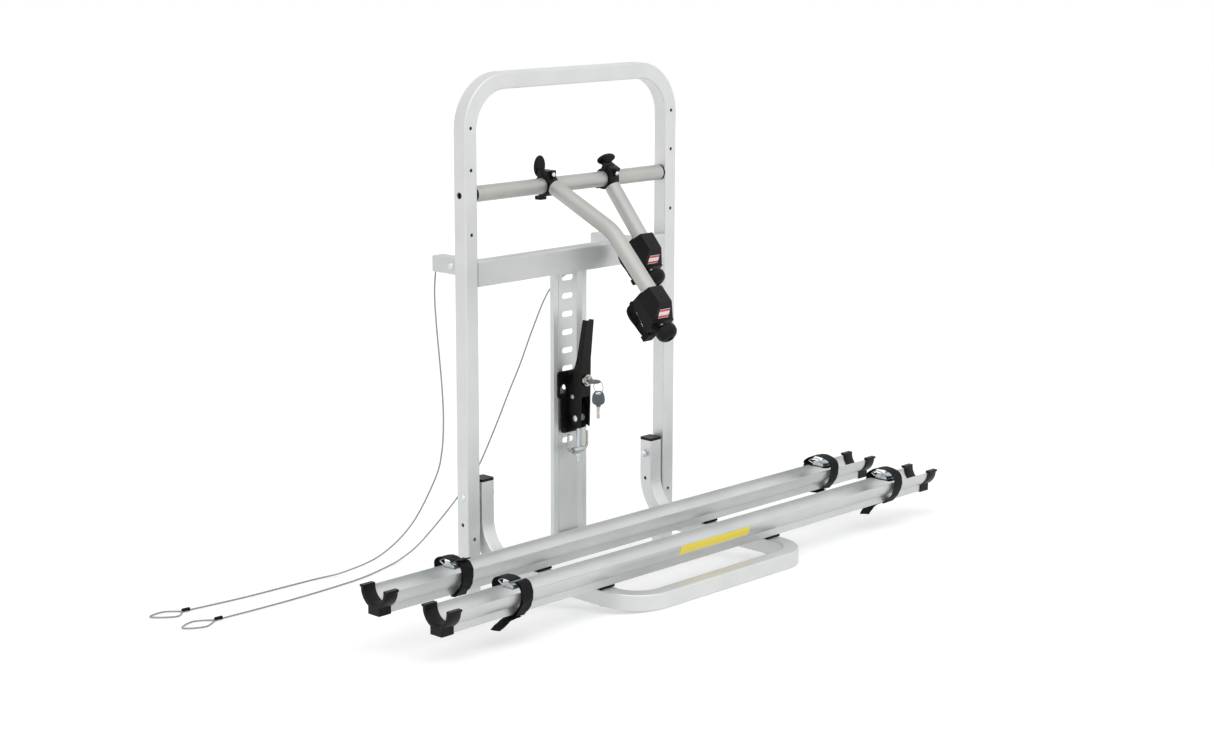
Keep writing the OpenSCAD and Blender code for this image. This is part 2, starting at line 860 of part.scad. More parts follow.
// Ring with a split lug above, a tail with a hole behind and a socket for the arm
module arm_clamp(i) {
    color("dimgray")
    at_arm(i)
        difference() {
            union() {
                x_rod(-clamp_w / 2, clamp_out, clamp_w);
                rotate([-lug_tilt, 0, 0]) {
                    translate([-lug_w / 2, -lug_half, 0]) cube([lug_w, 2 * lug_half, lug_top]);
                    translate([-tail_w / 2, tail_y, -tail_z]) cube([tail_w, tail_l, tail_h]);
                    translate([-tail_w / 2, tail_y, -tail_z]) cube([tail_w, tail_h / 2, tail_z]);
                }
                translate([0, 0, arm_rise[i]])
                    y_rod(-clamp_out - socket_l, arm_r - arm_wall - fit_gap, clamp_out + socket_l);
            }
            x_rod(-clamp_w / 2 - cut, clamp_in, clamp_w + 2 * cut);
            rotate([-lug_tilt, 0, 0]) {
                translate([-lug_w / 2 - cut, -lug_slot / 2, 0])
                    cube([lug_w + 2 * cut, lug_slot, lug_top + cut]);
                translate([0, 0, lug_bolt])
                    y_rod(-lug_half - cut, m6_r + run_gap, 2 * (lug_half + cut));
                translate([0, tail_y + tail_l - tail_h / 2, tail_h / 2 - tail_z])
                    x_rod(-tail_w / 2 - cut, tail_hole_r, tail_w + 2 * cut);
            }
        }
}

// Oval wing knob with its stud and the hexagon end that turns with it
module clamp_knob(i) {
    color("dimgray")
    at_arm(i) rotate([-lug_tilt, 0, 0]) translate([0, 0, lug_bolt]) {
        y_rod(-lug_half - m6_nut_h - cut, m6_r, lug_half + m6_nut_h + cut + wing_y);
        y_rod(lug_half + fit_gap, wing_neck_r, wing_y - lug_half);
        translate([0, wing_y, wing_off]) rotate([-90, 0, 0])
            linear_extrude(wing_t) soft_rect(wing_w, wing_h, wing_r);
        translate([0, -lug_half - fit_gap, 0]) rotate([90, 0, 0])
            cylinder(r = m6_nut_r, h = m6_nut_h, $fn = 6);
    }
}

module arm_section() {
    difference() {
        circle(arm_r);
        circle(arm_r - arm_wall);
    }
}

module arm_tube(i) {
    turn = bent_end_slope - bent_slope;
    lead = bent_r * tan(turn / 2);
    start = clamp_out + fit_gap;
    run = (i == 0 ? bent_run - lead : straight_run + tube_in_claw) - start;
    color("silver")
    at_arm(i)
        translate([0, -start, arm_rise[i]]) {
            rotate([90, 0, 0]) linear_extrude(run) arm_section();
            if (i == 0)
                translate([0, -run, -bent_r]) {
                    rotate([0, -90, 180]) rotate_extrude(angle = turn, $fn = 96)
                        translate([bent_r, 0]) arm_section();
                    rotate([turn, 0, 0]) translate([0, 0, bent_r]) rotate([90, 0, 0])
                        linear_extrude(bent_end_run - lead + tube_in_claw) arm_section();
                }
        }
}

// Housing: its side outline and its front outline cut to one block, with a lug behind
module claw_housing(i) {
    half = claw_half_w;
    front = [for (p = claw_front_shares) [p[0] * half, p[1] * claw_len]];
    color("dimgray")
    at_claw(i)
        difference() {
            union() {
                intersection() {
                    along_x(2 * half)
                        polygon(claw_shares * claw_len);
                    translate([0, 2 * claw_len, 0]) rotate([90, 0, 0])
                        linear_extrude(3 * claw_len)
                            polygon(concat(front, [for (k = [2:-1:0]) [-front[k][0], front[k][1]]]));
                }
                translate([-claw_lug_w / 2, claw_pin[0] - claw_lug_half, claw_pin[1] - claw_lug_half])
                    cube([claw_lug_w, 2 * claw_lug_half + claw_lug_root[0],
                        4 * claw_lug_half + claw_lug_root[1]]);
            }
            y_rod(-claw_len, arm_r + run_gap, claw_len + tube_in_claw);
            translate([0, claw_pin[0], claw_pin[1]])
                x_rod(-claw_lug_w / 2 - cut, claw_pin_r + run_gap, claw_lug_w + 2 * cut);
            translate([0, 0, claw_axis])
                y_rod(claw_stud_in - fit_gap, claw_stud_r + run_gap, claw_len);
        }
}

// Strap of a claw: two ears on the lug's pin, a band and a toothed foot
module claw_strap(i) {
    half = claw_lug_w / 2 + claw_ear_gap + claw_ear_t;
    low = claw_pin[0] - claw_lug_half;
    color("dimgray")
    at_claw(i) {
        translate([0, claw_pin[0], claw_pin[1]]) x_rod(-half, claw_pin_r, 2 * half);
        for (s = [0, 1])
            mirror([s, 0, 0]) translate([half - claw_ear_t, low, -claw_band])
                cube([claw_ear_t, 2 * claw_lug_half, claw_band + claw_pin[1] + claw_lug_half]);
        translate([-half, low, -claw_band])
            cube([2 * half, claw_foot[1] - low, claw_band_t]);
        translate([-half, claw_foot[0], -claw_band])
            cube([2 * half, claw_foot[1] - claw_foot[0], claw_band - claw_foot_top]);
    }
}

// Locking knob with its stud and the round lock core in its end
module claw_knob(i) {
    color("dimgray")
    at_claw(i) translate([0, 0, claw_axis]) {
        y_rod(claw_stud_in, claw_stud_r, claw_knob_from - claw_stud_in);
        y_rod(claw_knob_from, claw_neck_r, claw_knob_l);
        y_rod(claw_knob_from + claw_neck_r / 3, claw_knob_r, claw_knob_l - 2 * claw_neck_r / 3);
        y_rod(claw_knob_from, claw_core_r, claw_knob_l + claw_core_lip);
    }
}

// Side outline of the base's inner walls, from the pivot
module base_wall_section() {
    back = base_y + base_foot - lever_y;
    polygon(concat([[back, base_low + base_foot]], base_wall_shares * lever_w,
        [[base_neck_y, base_top - ear_r], [back, base_top - ear_r]]));
}

module lever_base() {
    mid_h = base_mid - base_low;
    color("dimgray")
    translate([0, 0, lever_z])
        difference() {
            union() {
                translate([0, beam_depth, 0]) rotate([90, 0, 0]) linear_extrude(base_t) {
                    translate([0, base_low + (mid_h + ear_r) / 2])
                        soft_rect(base_w, mid_h + ear_r, ear_r);
                    translate([0, (base_mid + base_top) / 2])
                        soft_rect(ear_w, base_top - base_mid, ear_r);
                }
                translate([-pad_half, beam_depth, base_low + ear_r])
                    cube([2 * pad_half, web_recess, mid_h]);
                translate([0, lever_y, 0])
                    for (s = [-1, 1])
                        translate([s * (base_wall_x + base_wall_t / 2), 0, 0])
                            along_x(base_wall_t) base_wall_section();
            }
            both_sides()
                translate([ear_hole_x, base_y - cut, ear_hole_rise])
                    rotate([-90, 0, 0]) linear_extrude(base_t + 2 * cut) {
                        translate([0, -ear_hole_l / 2]) circle(ear_hole_r);
                        translate([0, ear_hole_l / 2]) circle(ear_hole_r);
                        square([2 * ear_hole_r, ear_hole_l], center = true);
                    }
            translate([0, lever_y, 0])
                x_rod(-base_w, lever_rivet_r + run_gap, 2 * base_w);
            for (z = base_bolt_z())
                translate([0, 0, z - lever_z])
                    y_rod(base_y - cut, m8_r + run_gap, base_t + web_recess + 2 * cut);
        }
}

// The two slots that the base's bolts use
function base_bolt_z() = [slot_top - 7 * slot_pitch, slot_top - 8 * slot_pitch];

module base_bolts() {
    grip = base_t + web_recess + channel_wall;
    color("lightgray")
    for (z = base_bolt_z())
        translate([0, base_y, z]) {
            y_rod(0, m8_r, grip + m8_nut_h);
            rotate([90, 0, 0]) dome(base_head_r, m8_head_h);
            translate([0, grip, 0]) rotate([-90, 0, 0]) nut(m8_nut_r, m8_nut_h, m8_r);
        }
}

module lever_rivets() {
    inside = base_wall_x;
    outside = lever_w / 2 + lever_side_gap;
    color("silver")
    both_sides()
        translate([0, lever_y, lever_z]) {
            x_rod(inside - lever_rivet_h, lever_rivet_head, lever_rivet_h);
            x_rod(inside, lever_rivet_r, outside - inside);
            translate([outside, 0, 0]) rotate([0, 90, 0]) dome(lever_rivet_head, lever_rivet_h);
        }
}

// Height share z, moved out by g where it is the lower or upper end
function ends_out(z, g) = z <= 0 ? z - g : z >= 1 ? z + g : z;

// The lever's outer form, inset by t; its ends grown by the share g
module lever_blank(t, g) {
    right_half = [for (p = lever_front_shares) [p[0] * lever_w - t, ends_out(p[1], g) * lever_tall]];
    intersection() {
        translate([0, t, 0]) along_x(2 * lever_w)
            polygon([for (p = lever_side_shares) [p[0], ends_out(p[1], g)] * lever_tall]);
        translate([0, lever_tall, 0]) rotate([90, 0, 0]) linear_extrude(2 * lever_tall)
            polygon(concat(right_half, flip(right_half)));
    }
}

module lever() {
    notch_w = 2 * (base_wall_x + base_wall_t + fit_gap);
    color("dimgray")
    translate([0, lever_y, lever_z])
        difference() {
            lever_blank(0, 0);
            lever_blank(lever_t, cut / lever_tall);
            translate([0, lever_t + cut, 0]) lever_blank(lever_t, cut / lever_tall);
            translate([-notch_w / 2, -lever_top, -lever_tall])
                cube([notch_w, lever_top, lever_tall * (1 + notch_share)]);
            x_rod(-lever_w, lever_rivet_r + run_gap, 2 * lever_w);
            translate([0, rod_y - lever_y, rod_pin_rise])
                x_rod(-lever_w, rod_pin_r + run_gap, 2 * lever_w);
            translate([0, 0, lock_z - lever_z])
                y_rod(-lever_top, lock_r + fit_gap, lever_top);
        }
}

module pull_rod() {
    half = lever_w / 2 + fit_gap;
    color("lightgray")
    translate([0, rod_y, lever_z]) {
        difference() {
            union() {
                translate([0, 0, rod_low]) cylinder(r = rod_r, h = rod_pin_rise - rod_low);
                translate([0, 0, rod_pin_rise]) x_rod(-rod_r, rod_eye_r, 2 * rod_r);
            }
            translate([0, 0, rod_pin_rise]) x_rod(-2 * rod_r, rod_pin_r + run_gap, 4 * rod_r);
        }
        translate([0, 0, rod_pin_rise]) {
            x_rod(-half, rod_pin_r, 2 * half);
            for (s = [0, 1])
                mirror([s, 0, 0]) x_rod(half, rod_pin_r + rod_pin_lip, rod_pin_lip);
        }
        translate([0, 0, rod_nut_low]) nut(m6_nut_r, m6_nut_h, rod_r);
    }
}

module hook_barrel() {
    color("lightgray")
    translate([0, rod_y, barrel_z])
        difference() {
            x_rod(-barrel_half, barrel_r, 2 * barrel_half);
            translate([0, 0, -barrel_r - cut])
                cylinder(r = rod_r + run_gap, h = 2 * (barrel_r + cut));
            both_sides() x_rod(barrel_half - wire_in, wire_r + fit_gap, wire_in + cut);
        }
}

// Wire ends that leave the barrel sideways and turn up
module wire_hook() {
    reach = wire_half - wire_bend;
    color("silver")
    both_sides()
        translate([0, rod_y, barrel_z]) {
            x_rod(barrel_half - wire_in, wire_r, reach - barrel_half + wire_in);
            translate([reach, 0, wire_bend]) rotate([90, 0, 0]) rotate([0, 0, -90])
                rotate_extrude(angle = 90) translate([wire_bend, 0]) circle(wire_r);
            translate([wire_half, 0, wire_bend]) cylinder(r = wire_r, h = wire_top - wire_bend);
        }
}

module lock_barrel() {
    color("silver")
    translate([0, 0, lock_z])
        difference() {
            union() {
                y_rod(lock_front, lock_r, lock_back - lock_front);
                y_rod(lock_face - lock_flange_t, lock_flange_r, lock_flange_t);
            }
            y_rod(lock_front - cut, plug_r + run_gap, lock_back - lock_front - cut);
        }
}

// Key with its bow level, and the lock's plug that it turns
module key() {
    stem = lock_front - bow_gap;
    color("slategray")
    translate([0, 0, lock_z]) {
        difference() {
            y_rod(lock_front, plug_r, lock_back - core_back - lock_front);
            translate([-blade_w / 2 - fit_gap, stem, -blade_t / 2 - fit_gap])
                cube([blade_w + 2 * fit_gap, lock_back - slit_back - stem, blade_t + 2 * fit_gap]);
        }
        translate([-blade_w / 2, stem, -blade_t / 2])
            cube([blade_w, lock_back - blade_back - stem, blade_t]);
        difference() {
            translate([0, stem - bow_l / 2, -bow_t / 2]) linear_extrude(bow_t)
                soft_rect(bow_w, bow_l, bow_r);
            translate([0, stem - bow_l + bow_hole_y, -bow_t])
                cylinder(r = bow_hole_r, h = 2 * bow_t);
        }
    }
}

// Split ring through the bow's hole
ring_y = lock_front - bow_gap - bow_l;
ring_z = lock_z - ring_drop;

module key_ring() {
    color("silver")
    translate([0, ring_y, ring_z]) rotate([0, 90, 0])
        rotate_extrude() translate([ring_r, 0]) circle(ring_wire_r);
}

// Spare key that hangs from the ring, turned to the front left
module spare_key() {
    head_low = spare_top - spare_head_h;
    color("slategray")
    translate([0, ring_y, ring_z - ring_r]) rotate([0, 0, -spare_turn])
        difference() {
            union() {
                translate([0, spare_t / 2, spare_top - spare_head_h / 2]) rotate([90, 0, 0])
                    linear_extrude(spare_t) soft_rect(spare_head_w, spare_head_h, bow_r);
                translate([-spare_blade_w / 2, -blade_t / 2, head_low - spare_blade_l])
                    cube([spare_blade_w, blade_t, spare_blade_l + cut]);
            }
            y_rod(-spare_t, spare_hole_r, 2 * spare_t);
        }
}

// Point between b and c on a smooth curve through a, b, c and d
function curve_point(a, b, c, d, t) = 0.5 * (2 * b + (c - a) * t
    + (2 * a - 5 * b + 4 * c - d) * t * t + (3 * b - a - 3 * c + d) * t * t * t);

function curve(p, n) = concat([for (i = [0:len(p) - 2], k = [0:n - 1])
    curve_point(p[max(i - 1, 0)], p[i], p[i + 1], p[min(i + 2, len(p) - 1)], k / n)],
    [p[len(p) - 1]]);

function unit(v) = v / norm(v);

// Tube along the points p, its ends square to its first and last stretch
module cord(p, r, lean = [0.75, 0.55, 0.35]) {
    last = len(p) - 1;
    n = cable_sides;
    way = [for (i = [0:last]) unit(p[min(i + 1, last)] - p[max(i - 1, 0)])];
    side = [for (w = way) unit(cross(w, lean))];
    rim = [for (i = [0:last], k = [0:n - 1])
        p[i] + r * (side[i] * cos(360 * k / n) + cross(way[i], side[i]) * sin(360 * k / n))];
    skin = [for (i = [0:last - 1], k = [0:n - 1], h = [0, 1])
        h == 0 ? [i * n + k, i * n + (k + 1) % n, (i + 1) * n + k]
            : [i * n + (k + 1) % n, (i + 1) * n + (k + 1) % n, (i + 1) * n + k]];
    fore = [for (k = [1:n - 2]) [0, k + 1, k]];
    aft = [for (k = [1:n - 2]) [last * n, last * n + k, last * n + k + 1]];
    polyhedron(points = rim, faces = [for (f = concat(skin, fore, aft)) [f[2], f[1], f[0]]]);
}

// Points lifted where the curve dips under the ground
function laid(p) = [for (q = p) [q[0], q[1], max(q[2], cable_r + fit_gap)]];

module cable(route) {
    color("lightsteelblue") cord(laid(curve(route, cable_steps)), cable_r);
}

// Crimped sleeve and eye loop at the end of a route; a and b are the loop's sides
module eye(route, tip, a, b) {
    end = route[len(route) - 1];
    back = route[len(route) - 2];
    way = unit([end[0] - back[0], end[1] - back[1], 0]);
    off = eye_off * [-way[1], way[0], 0];
    far = end + way * (sleeve_len + 4 * fit_gap);
    turn = atan2(way[1], way[0]);
    color("dimgray")
    translate(end + way * fit_gap + [0, 0, sleeve_r - cable_r - fit_gap]) rotate([0, 0, turn])
        x_rod(0, sleeve_r, sleeve_len);
    color("lightsteelblue")
    cord(laid(curve([far + off, a, tip, b, far - off], cable_steps)), cable_r, [0, 0, 1]);
}

module cable_anchors() {
    color("silver")
    both_sides()
        translate([rear_arm_x, 0, beam_z])
            difference() {
                union() {
                    translate([0, arm_bolt_y, 0])
                        x_rod(-anchor_ring_w / 2, anchor_ring_r, anchor_ring_w);
                    y_rod(arm_bolt_y, anchor_neck_r, anchor_end - arm_bolt_y - fit_gap);
                }
                translate([0, arm_bolt_y, 0]) x_rod(-anchor_ring_w, m8_r + run_gap, 2 * anchor_ring_w);
            }
}

left_tip = [-725, 351, 2];
left_sides = [[-690, 320, 2], [-692, 360, 2]];
right_tip = [-722, 258, 2];
right_sides = [[-689, 236, 2], [-687, 276, 2]];

main_frame();
leg_plugs();
cross_tube();
cross_tube_plugs();
crossbeam(beam_h, beam_z);  // upper_crossbeam
crossbeam(low_beam_h, low_beam_z);  // lower_crossbeam
rear_arms();
rear_arm_bolts();
centre_channel();
channel_rivets();
pivot_bolts();
lever_base();
base_bolts();
lever_rivets();
cable_anchors();
cable(left_route);  // cable_left
cable(right_route);  // cable_right
eye(left_route, left_tip, left_sides[0], left_sides[1]);  // eye_left
eye(right_route, right_tip, right_sides[0], right_sides[1]);  // eye_right
platform_tube();
platform_caps();
rail(rail_y[0]);  // rail_front
rail(rail_y[1]);  // rail_rear
rail_caps();
rail_pads();
rail_bolts();
wheel_strap(0);  // wheel_strap_1
wheel_strap(1);  // wheel_strap_2
wheel_strap(2);  // wheel_strap_3
wheel_strap(3);  // wheel_strap_4
strap_buckle(0);  // strap_buckle_1
strap_buckle(1);  // strap_buckle_2
strap_buckle(2);  // strap_buckle_3
strap_buckle(3);  // strap_buckle_4
buckle_lever(0);  // buckle_lever_1
buckle_lever(1);  // buckle_lever_2
buckle_lever(2);  // buckle_lever_3
buckle_lever(3);  // buckle_lever_4
slip_sleeve(0);  // slip_sleeve_1
slip_sleeve(1);  // slip_sleeve_2
arm_clamp(0);  // arm_clamp_1
arm_clamp(1);  // arm_clamp_2
clamp_knob(0);  // clamp_knob_1
clamp_knob(1);  // clamp_knob_2
arm_tube(0);  // arm_tube_1
arm_tube(1);  // arm_tube_2
claw_housing(0);  // claw_housing_1
claw_housing(1);  // claw_housing_2
claw_strap(0);  // claw_strap_1
claw_strap(1);  // claw_strap_2
claw_knob(0);  // claw_knob_1
claw_knob(1);  // claw_knob_2
lever();
pull_rod();
hook_barrel();
wire_hook();
lock_barrel();
key();
key_ring();
spare_key();
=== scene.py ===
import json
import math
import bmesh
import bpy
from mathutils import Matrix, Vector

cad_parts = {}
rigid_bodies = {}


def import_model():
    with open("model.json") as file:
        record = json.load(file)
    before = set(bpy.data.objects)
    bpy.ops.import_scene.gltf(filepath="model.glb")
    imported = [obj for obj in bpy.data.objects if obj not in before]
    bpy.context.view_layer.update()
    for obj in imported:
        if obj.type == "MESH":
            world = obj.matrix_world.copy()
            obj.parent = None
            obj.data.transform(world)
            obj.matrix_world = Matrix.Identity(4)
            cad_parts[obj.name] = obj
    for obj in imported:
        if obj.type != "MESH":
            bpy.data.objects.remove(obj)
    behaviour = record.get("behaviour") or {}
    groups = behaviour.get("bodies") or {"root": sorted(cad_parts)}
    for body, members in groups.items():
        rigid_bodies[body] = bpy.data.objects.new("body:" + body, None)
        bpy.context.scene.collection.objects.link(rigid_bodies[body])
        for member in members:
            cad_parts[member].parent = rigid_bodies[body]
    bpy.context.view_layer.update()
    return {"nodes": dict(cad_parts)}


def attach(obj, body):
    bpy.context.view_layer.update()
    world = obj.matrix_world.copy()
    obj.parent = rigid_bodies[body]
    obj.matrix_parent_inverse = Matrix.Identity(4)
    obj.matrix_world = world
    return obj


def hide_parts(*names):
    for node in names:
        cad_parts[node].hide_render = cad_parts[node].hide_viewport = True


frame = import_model()

# %% [markdown]
# # A spare wheel bike rack, dressed step by step
# The rack hangs on the spare wheel at the back of a vehicle. A bent square tube
# makes its frame, a second one its folding platform, and two bike arms reach
# forward from a round bar. All solids come from the construction model. This
# lesson gives them their surfaces, and builds the pieces that are soft, woven,
# twisted or rounded: straps, cables, claws, knobs, keys and labels.

nodes = frame["nodes"]
MM, TURN, ALONG_X = 0.001, 2 * math.pi, Vector((1, 0, 0))


def in_scene(name, data):
    item = bpy.data.objects.new(name, data)
    bpy.context.scene.collection.objects.link(item)
    return item


# %% [markdown]
# ## The camera
# The viewing point was found by matching the straight edges of both tubes: it
# stands about four metres away at the front left, a little above the bars, and
# looks slightly down. Its lens is a mild telephoto, so edges stay nearly parallel.

# %% Camera
camera_place = Vector((-2.9332, -2.9017, 1.2442))
turn, dip, tilt = math.radians(-46.13), math.radians(11.78), math.radians(0.15)
camera_data = bpy.data.cameras.new("camera")
camera_data.sensor_fit = "HORIZONTAL"
camera_data.sensor_width = 36
camera_data.lens = 66.74
camera_data.clip_end = 60
camera = in_scene("camera", camera_data)
camera.matrix_world = (Matrix.Translation(camera_place) @ Matrix.Rotation(turn, 4, "Z")
                       @ Matrix.Rotation(math.pi / 2 - dip, 4, "X")
                       @ Matrix.Rotation(tilt, 4, "Z"))
bpy.context.scene.camera = camera
print("camera at", [round(c, 3) for c in camera_place])

# %% [markdown]
# ## One function adds a shader node
# Every material below is a small net of nodes. A helper makes one node, sets its
# fields, and fills or links its inputs. Colours are six-digit codes, turned to
# linear light here. Noise is measured in millimetres, like a real grain.

# %% Node and colour helpers
finishes = []


def add(tree, kind, inputs=None, **fields):
    """One node with its fields; an input takes a value or another node's output."""
    node = tree.nodes.new(kind)
    for key, value in fields.items():
        setattr(node, key, value)
    for key, value in (inputs or {}).items():
        if isinstance(value, bpy.types.NodeSocket):
            tree.links.new(value, node.inputs[key])
        else:
            node.inputs[key].default_value = value
    return node


def result(tree, kind, inputs=None, **fields):
    """The first output of a new node."""
    return add(tree, kind, inputs, **fields).outputs[0]


def maths(tree, operation, *values):
    return result(tree, "ShaderNodeMath", dict(enumerate(values)), operation=operation)


def colour(code):
    """Linear RGBA of a six-digit sRGB code."""
    parts = [int(code[i:i + 2], 16) / 255 for i in (0, 2, 4)]
    return [p / 12.92 if p <= 0.04045 else ((p + 0.055) / 1.055) ** 2.4 for p in parts] + [1.0]


def new_finish(name):
    finishes.append(name)
    material = bpy.data.materials.new(name)
    material.use_nodes = True
    material.node_tree.nodes.clear()
    return material, material.node_tree


def surface(material, values):
    """The material, ended in a surface shader with the given values."""
    shader = result(material.node_tree, "ShaderNodeBsdfPrincipled", values)
    add(material.node_tree, "ShaderNodeOutputMaterial", {"Surface": shader})
    return material


def grain(tree, size_mm, detail=2.0):
    """Noise with grains of one real size, or of one for each axis."""
    sizes = size_mm if isinstance(size_mm, tuple) else (size_mm,) * 3
    scale = [1 / (size * MM) for size in sizes]
    coords = add(tree, "ShaderNodeTexCoord").outputs["Object"]
    place = result(tree, "ShaderNodeMapping", {"Vector": coords, "Scale": scale})
    return result(tree, "ShaderNodeTexNoise",
                  {"Vector": place, "Scale": 1.0, "Detail": detail, "Roughness": 0.55})


def between(tree, value, low, high, start=0.3, end=0.7):
    """Maps a value, of a noise if nothing else is said, to a range of numbers."""
    return result(tree, "ShaderNodeMapRange", {"Value": value, "From Min": start, "From Max": end,
                                               "To Min": low, "To Max": high})


def tint(tree, factor, dark, light):
    """Mixes two chart colours by a factor."""
    return add(tree, "ShaderNodeMix", {0: factor, 6: colour(dark), 7: colour(light)},
               data_type="RGBA").outputs[2]


def dent(tree, height, depth_mm):
    return result(tree, "ShaderNodeBump", {"Height": height, "Strength": 1.0,
                                           "Distance": depth_mm * MM})


print("colour helper: mid grey is", round(colour("808080")[0], 3), "in linear light")

# %% [markdown]
# ## Satin anodised aluminium
# The tubes, beams and rails are extruded, etched and clear anodised. The die
# leaves faint lines along each length, and etching makes the shine soft and
# wide. So the grain is stretched along the profile, and the roughness varies a
# little with it. A bent tube runs in several directions: its grain is even.

# %% Aluminium finishes
LINE, LENGTH, CLOUD = 0.9, 60, 90       # width and length of a die line, size of a cloud


def anodised(name, grain_mm, dark, light, rough):
    material, tree = new_finish(name)
    lines = grain(tree, grain_mm)
    shade = maths(tree, "MULTIPLY", maths(tree, "ADD", lines, grain(tree, CLOUD, 1.0)), 0.5)
    return surface(material, {"Base Color": tint(tree, between(tree, shade, 0, 1), dark, light),
                              "Roughness": between(tree, lines, rough - 0.05, rough + 0.05),
                              "Normal": dent(tree, lines, 0.01), "Metallic": 0.7})


alu_along_x = anodised("anodised_extrusion_along_x", (LENGTH, LINE, LINE), "C6C9C9", "D8DAD9", 0.44)
alu_along_y = anodised("anodised_extrusion_along_y", (LINE, LENGTH, LINE), "C6C9C9", "D8DAD9", 0.44)
alu_along_z = anodised("anodised_extrusion_along_z", (LINE, LINE, LENGTH), "CDD0D0", "DCDEDD", 0.44)
alu_bent = anodised("anodised_bent_tube", 1.2, "D2D4D4", "E0E1E0", 0.42)
alu_round = anodised("matt_anodised_round_tube", 1.0, "B2B2AF", "C2C2BE", 0.5)
print("finishes so far:", len(finishes))

# %% [markdown]
# ## Moulded plastic, rubber and powder coat
# Knobs, clamps and caps are glass-filled nylon with a fine spark-eroded grain
# of about a millimetre. The straps' rubber is duller. The lever is steel with a
# black powder coat, whose skin has soft waves nearly two millimetres apart. The
# keys' bows are a dark grey plastic.

# %% Black and grey finishes
WEAR = 25                               # size of a patch of wear


def moulded(name, dark, light, grain_mm, depth_mm, rough, shine=0.16):
    material, tree = new_finish(name)
    wear = grain(tree, WEAR)
    return surface(material, {"Base Color": tint(tree, between(tree, wear, 0, 1), dark, light),
                              "Roughness": between(tree, wear, rough - 0.06, rough + 0.06),
                              "Normal": dent(tree, grain(tree, grain_mm, 3.0), depth_mm),
                              "Specular IOR Level": shine})


black_nylon = moulded("moulded_black_nylon", "0D0D0E", "161617", 0.8, 0.05, 0.42)
black_rubber = moulded("moulded_black_rubber", "0C0C0D", "141415", 1.2, 0.04, 0.6, 0.12)
black_coat = moulded("black_powder_coat", "0D0D0E", "171718", 1.8, 0.06, 0.36)
grey_abs = moulded("dark_grey_abs_key_bow", "5E626B", "6C7079", 0.7, 0.03, 0.4)
# Near black: painted shade for the keyhole's slit, where the real hole is dark.
keyhole_painted_shade = moulded("painted_shade_keyhole_slit", "050505", "080808", 1.0, 0.02, 0.7)
print("finishes so far:", len(finishes))

# %% [markdown]
# ## Zinc, nickel and label film
# Bolts and buckles are zinc plated: a cool white metal with a faint bluish
# cloud. The hook, lock and ring are nickel plated, warmer and much smoother.
# A label is a printed film with one colour and a slightly uneven shine.

# %% Bright metals and films
def plated(name, dark, light, cloud_mm, rough):
    material, tree = new_finish(name)
    clouds = grain(tree, cloud_mm, 3.0)
    return surface(material, {"Base Color": tint(tree, between(tree, clouds, 0, 1), dark, light),
                              "Roughness": between(tree, clouds, rough - 0.05, rough + 0.06),
                              "Metallic": 1.0})


def label_film(name, code):
    material, tree = new_finish(name)
    return surface(material, {"Base Color": colour(code),
                              "Roughness": between(tree, grain(tree, 4), 0.3, 0.36)})


zinc = plated("bright_zinc_plate", "C8D2D8", "E4EAED", 6, 0.38)
nickel = plated("nickel_plate", "A3A19A", "C4C2BB", 9, 0.16)
yellow_film = label_film("yellow_label_film", "FFE84E")
white_film = label_film("white_sticker_film", "F1F0F0")
red_film = label_film("red_sticker_film", "D63A36")
print("finishes so far:", len(finishes))

# %% [markdown]
# ## Webbing and steel cable
# Both follow a path, so their patterns read the piece's own UV map, in metres
# along and across. Webbing is woven from flat polypropylene yarn about 1.3 mm
# apart; the cable is seven strands laid round each other under clear plastic.

# %% Woven and laid finishes
WEAVE = (2.6, 2.2)                      # two yarns along and two across
STRANDS, LAY = 7, 3.0


def uv_parts(tree):
    uv = result(tree, "ShaderNodeUVMap")
    return add(tree, "ShaderNodeSeparateXYZ", {0: uv}).outputs


def webbing_finish():
    material, tree = new_finish("black_woven_polypropylene")
    waves = [maths(tree, "SINE", maths(tree, "MULTIPLY", run, TURN / (pitch * MM)))
             for run, pitch in zip(uv_parts(tree), WEAVE)]
    lift = between(tree, maths(tree, "MULTIPLY", *waves), 0, 1, -1, 1)
    # The colour follows the weave's height: darker where the yarn sinks, which is painted shade in
    # the hollows of the weave.
    return surface(material, {"Base Color": tint(tree, lift, "09090A", "171718"),
                              "Normal": dent(tree, lift, 0.35), "Roughness": 0.62,
                              "Specular IOR Level": 0.15})


def cable_finish():
    material, tree = new_finish("steel_cable_in_clear_coat")
    parts = uv_parts(tree)
    around = maths(tree, "MULTIPLY", parts[0], STRANDS * TURN)
    lay = maths(tree, "MULTIPLY", parts[1], TURN / (LAY * MM))
    lift = between(tree, maths(tree, "SINE", maths(tree, "ADD", around, lay)), 0, 1, -1, 1)
    # The colour follows the strands' height: darker in the grooves between the laid strands, which
    # is painted shade in the grooves.
    return surface(material, {"Base Color": tint(tree, lift, "7E8080", "A9ABAA"),
                              "Normal": dent(tree, lift, 0.12), "Metallic": 0.6, "Roughness": 0.38,
                              "Coat Weight": 0.4})


webbing = webbing_finish()
cable_steel = cable_finish()
print("finishes so far:", len(finishes))

# %% [markdown]
# ## The solids get their finishes
# Every solid keeps its shape. Its material slots are filled by what the real
# piece is made of, and for extrusions by the direction in which it was pressed.

# %% Dress the solids
def nth(stem, i):
    return "%s_%d" % (stem, i + 1)


def numbered(count, *stems):
    return [nth(stem, i) for stem in stems for i in range(count)]


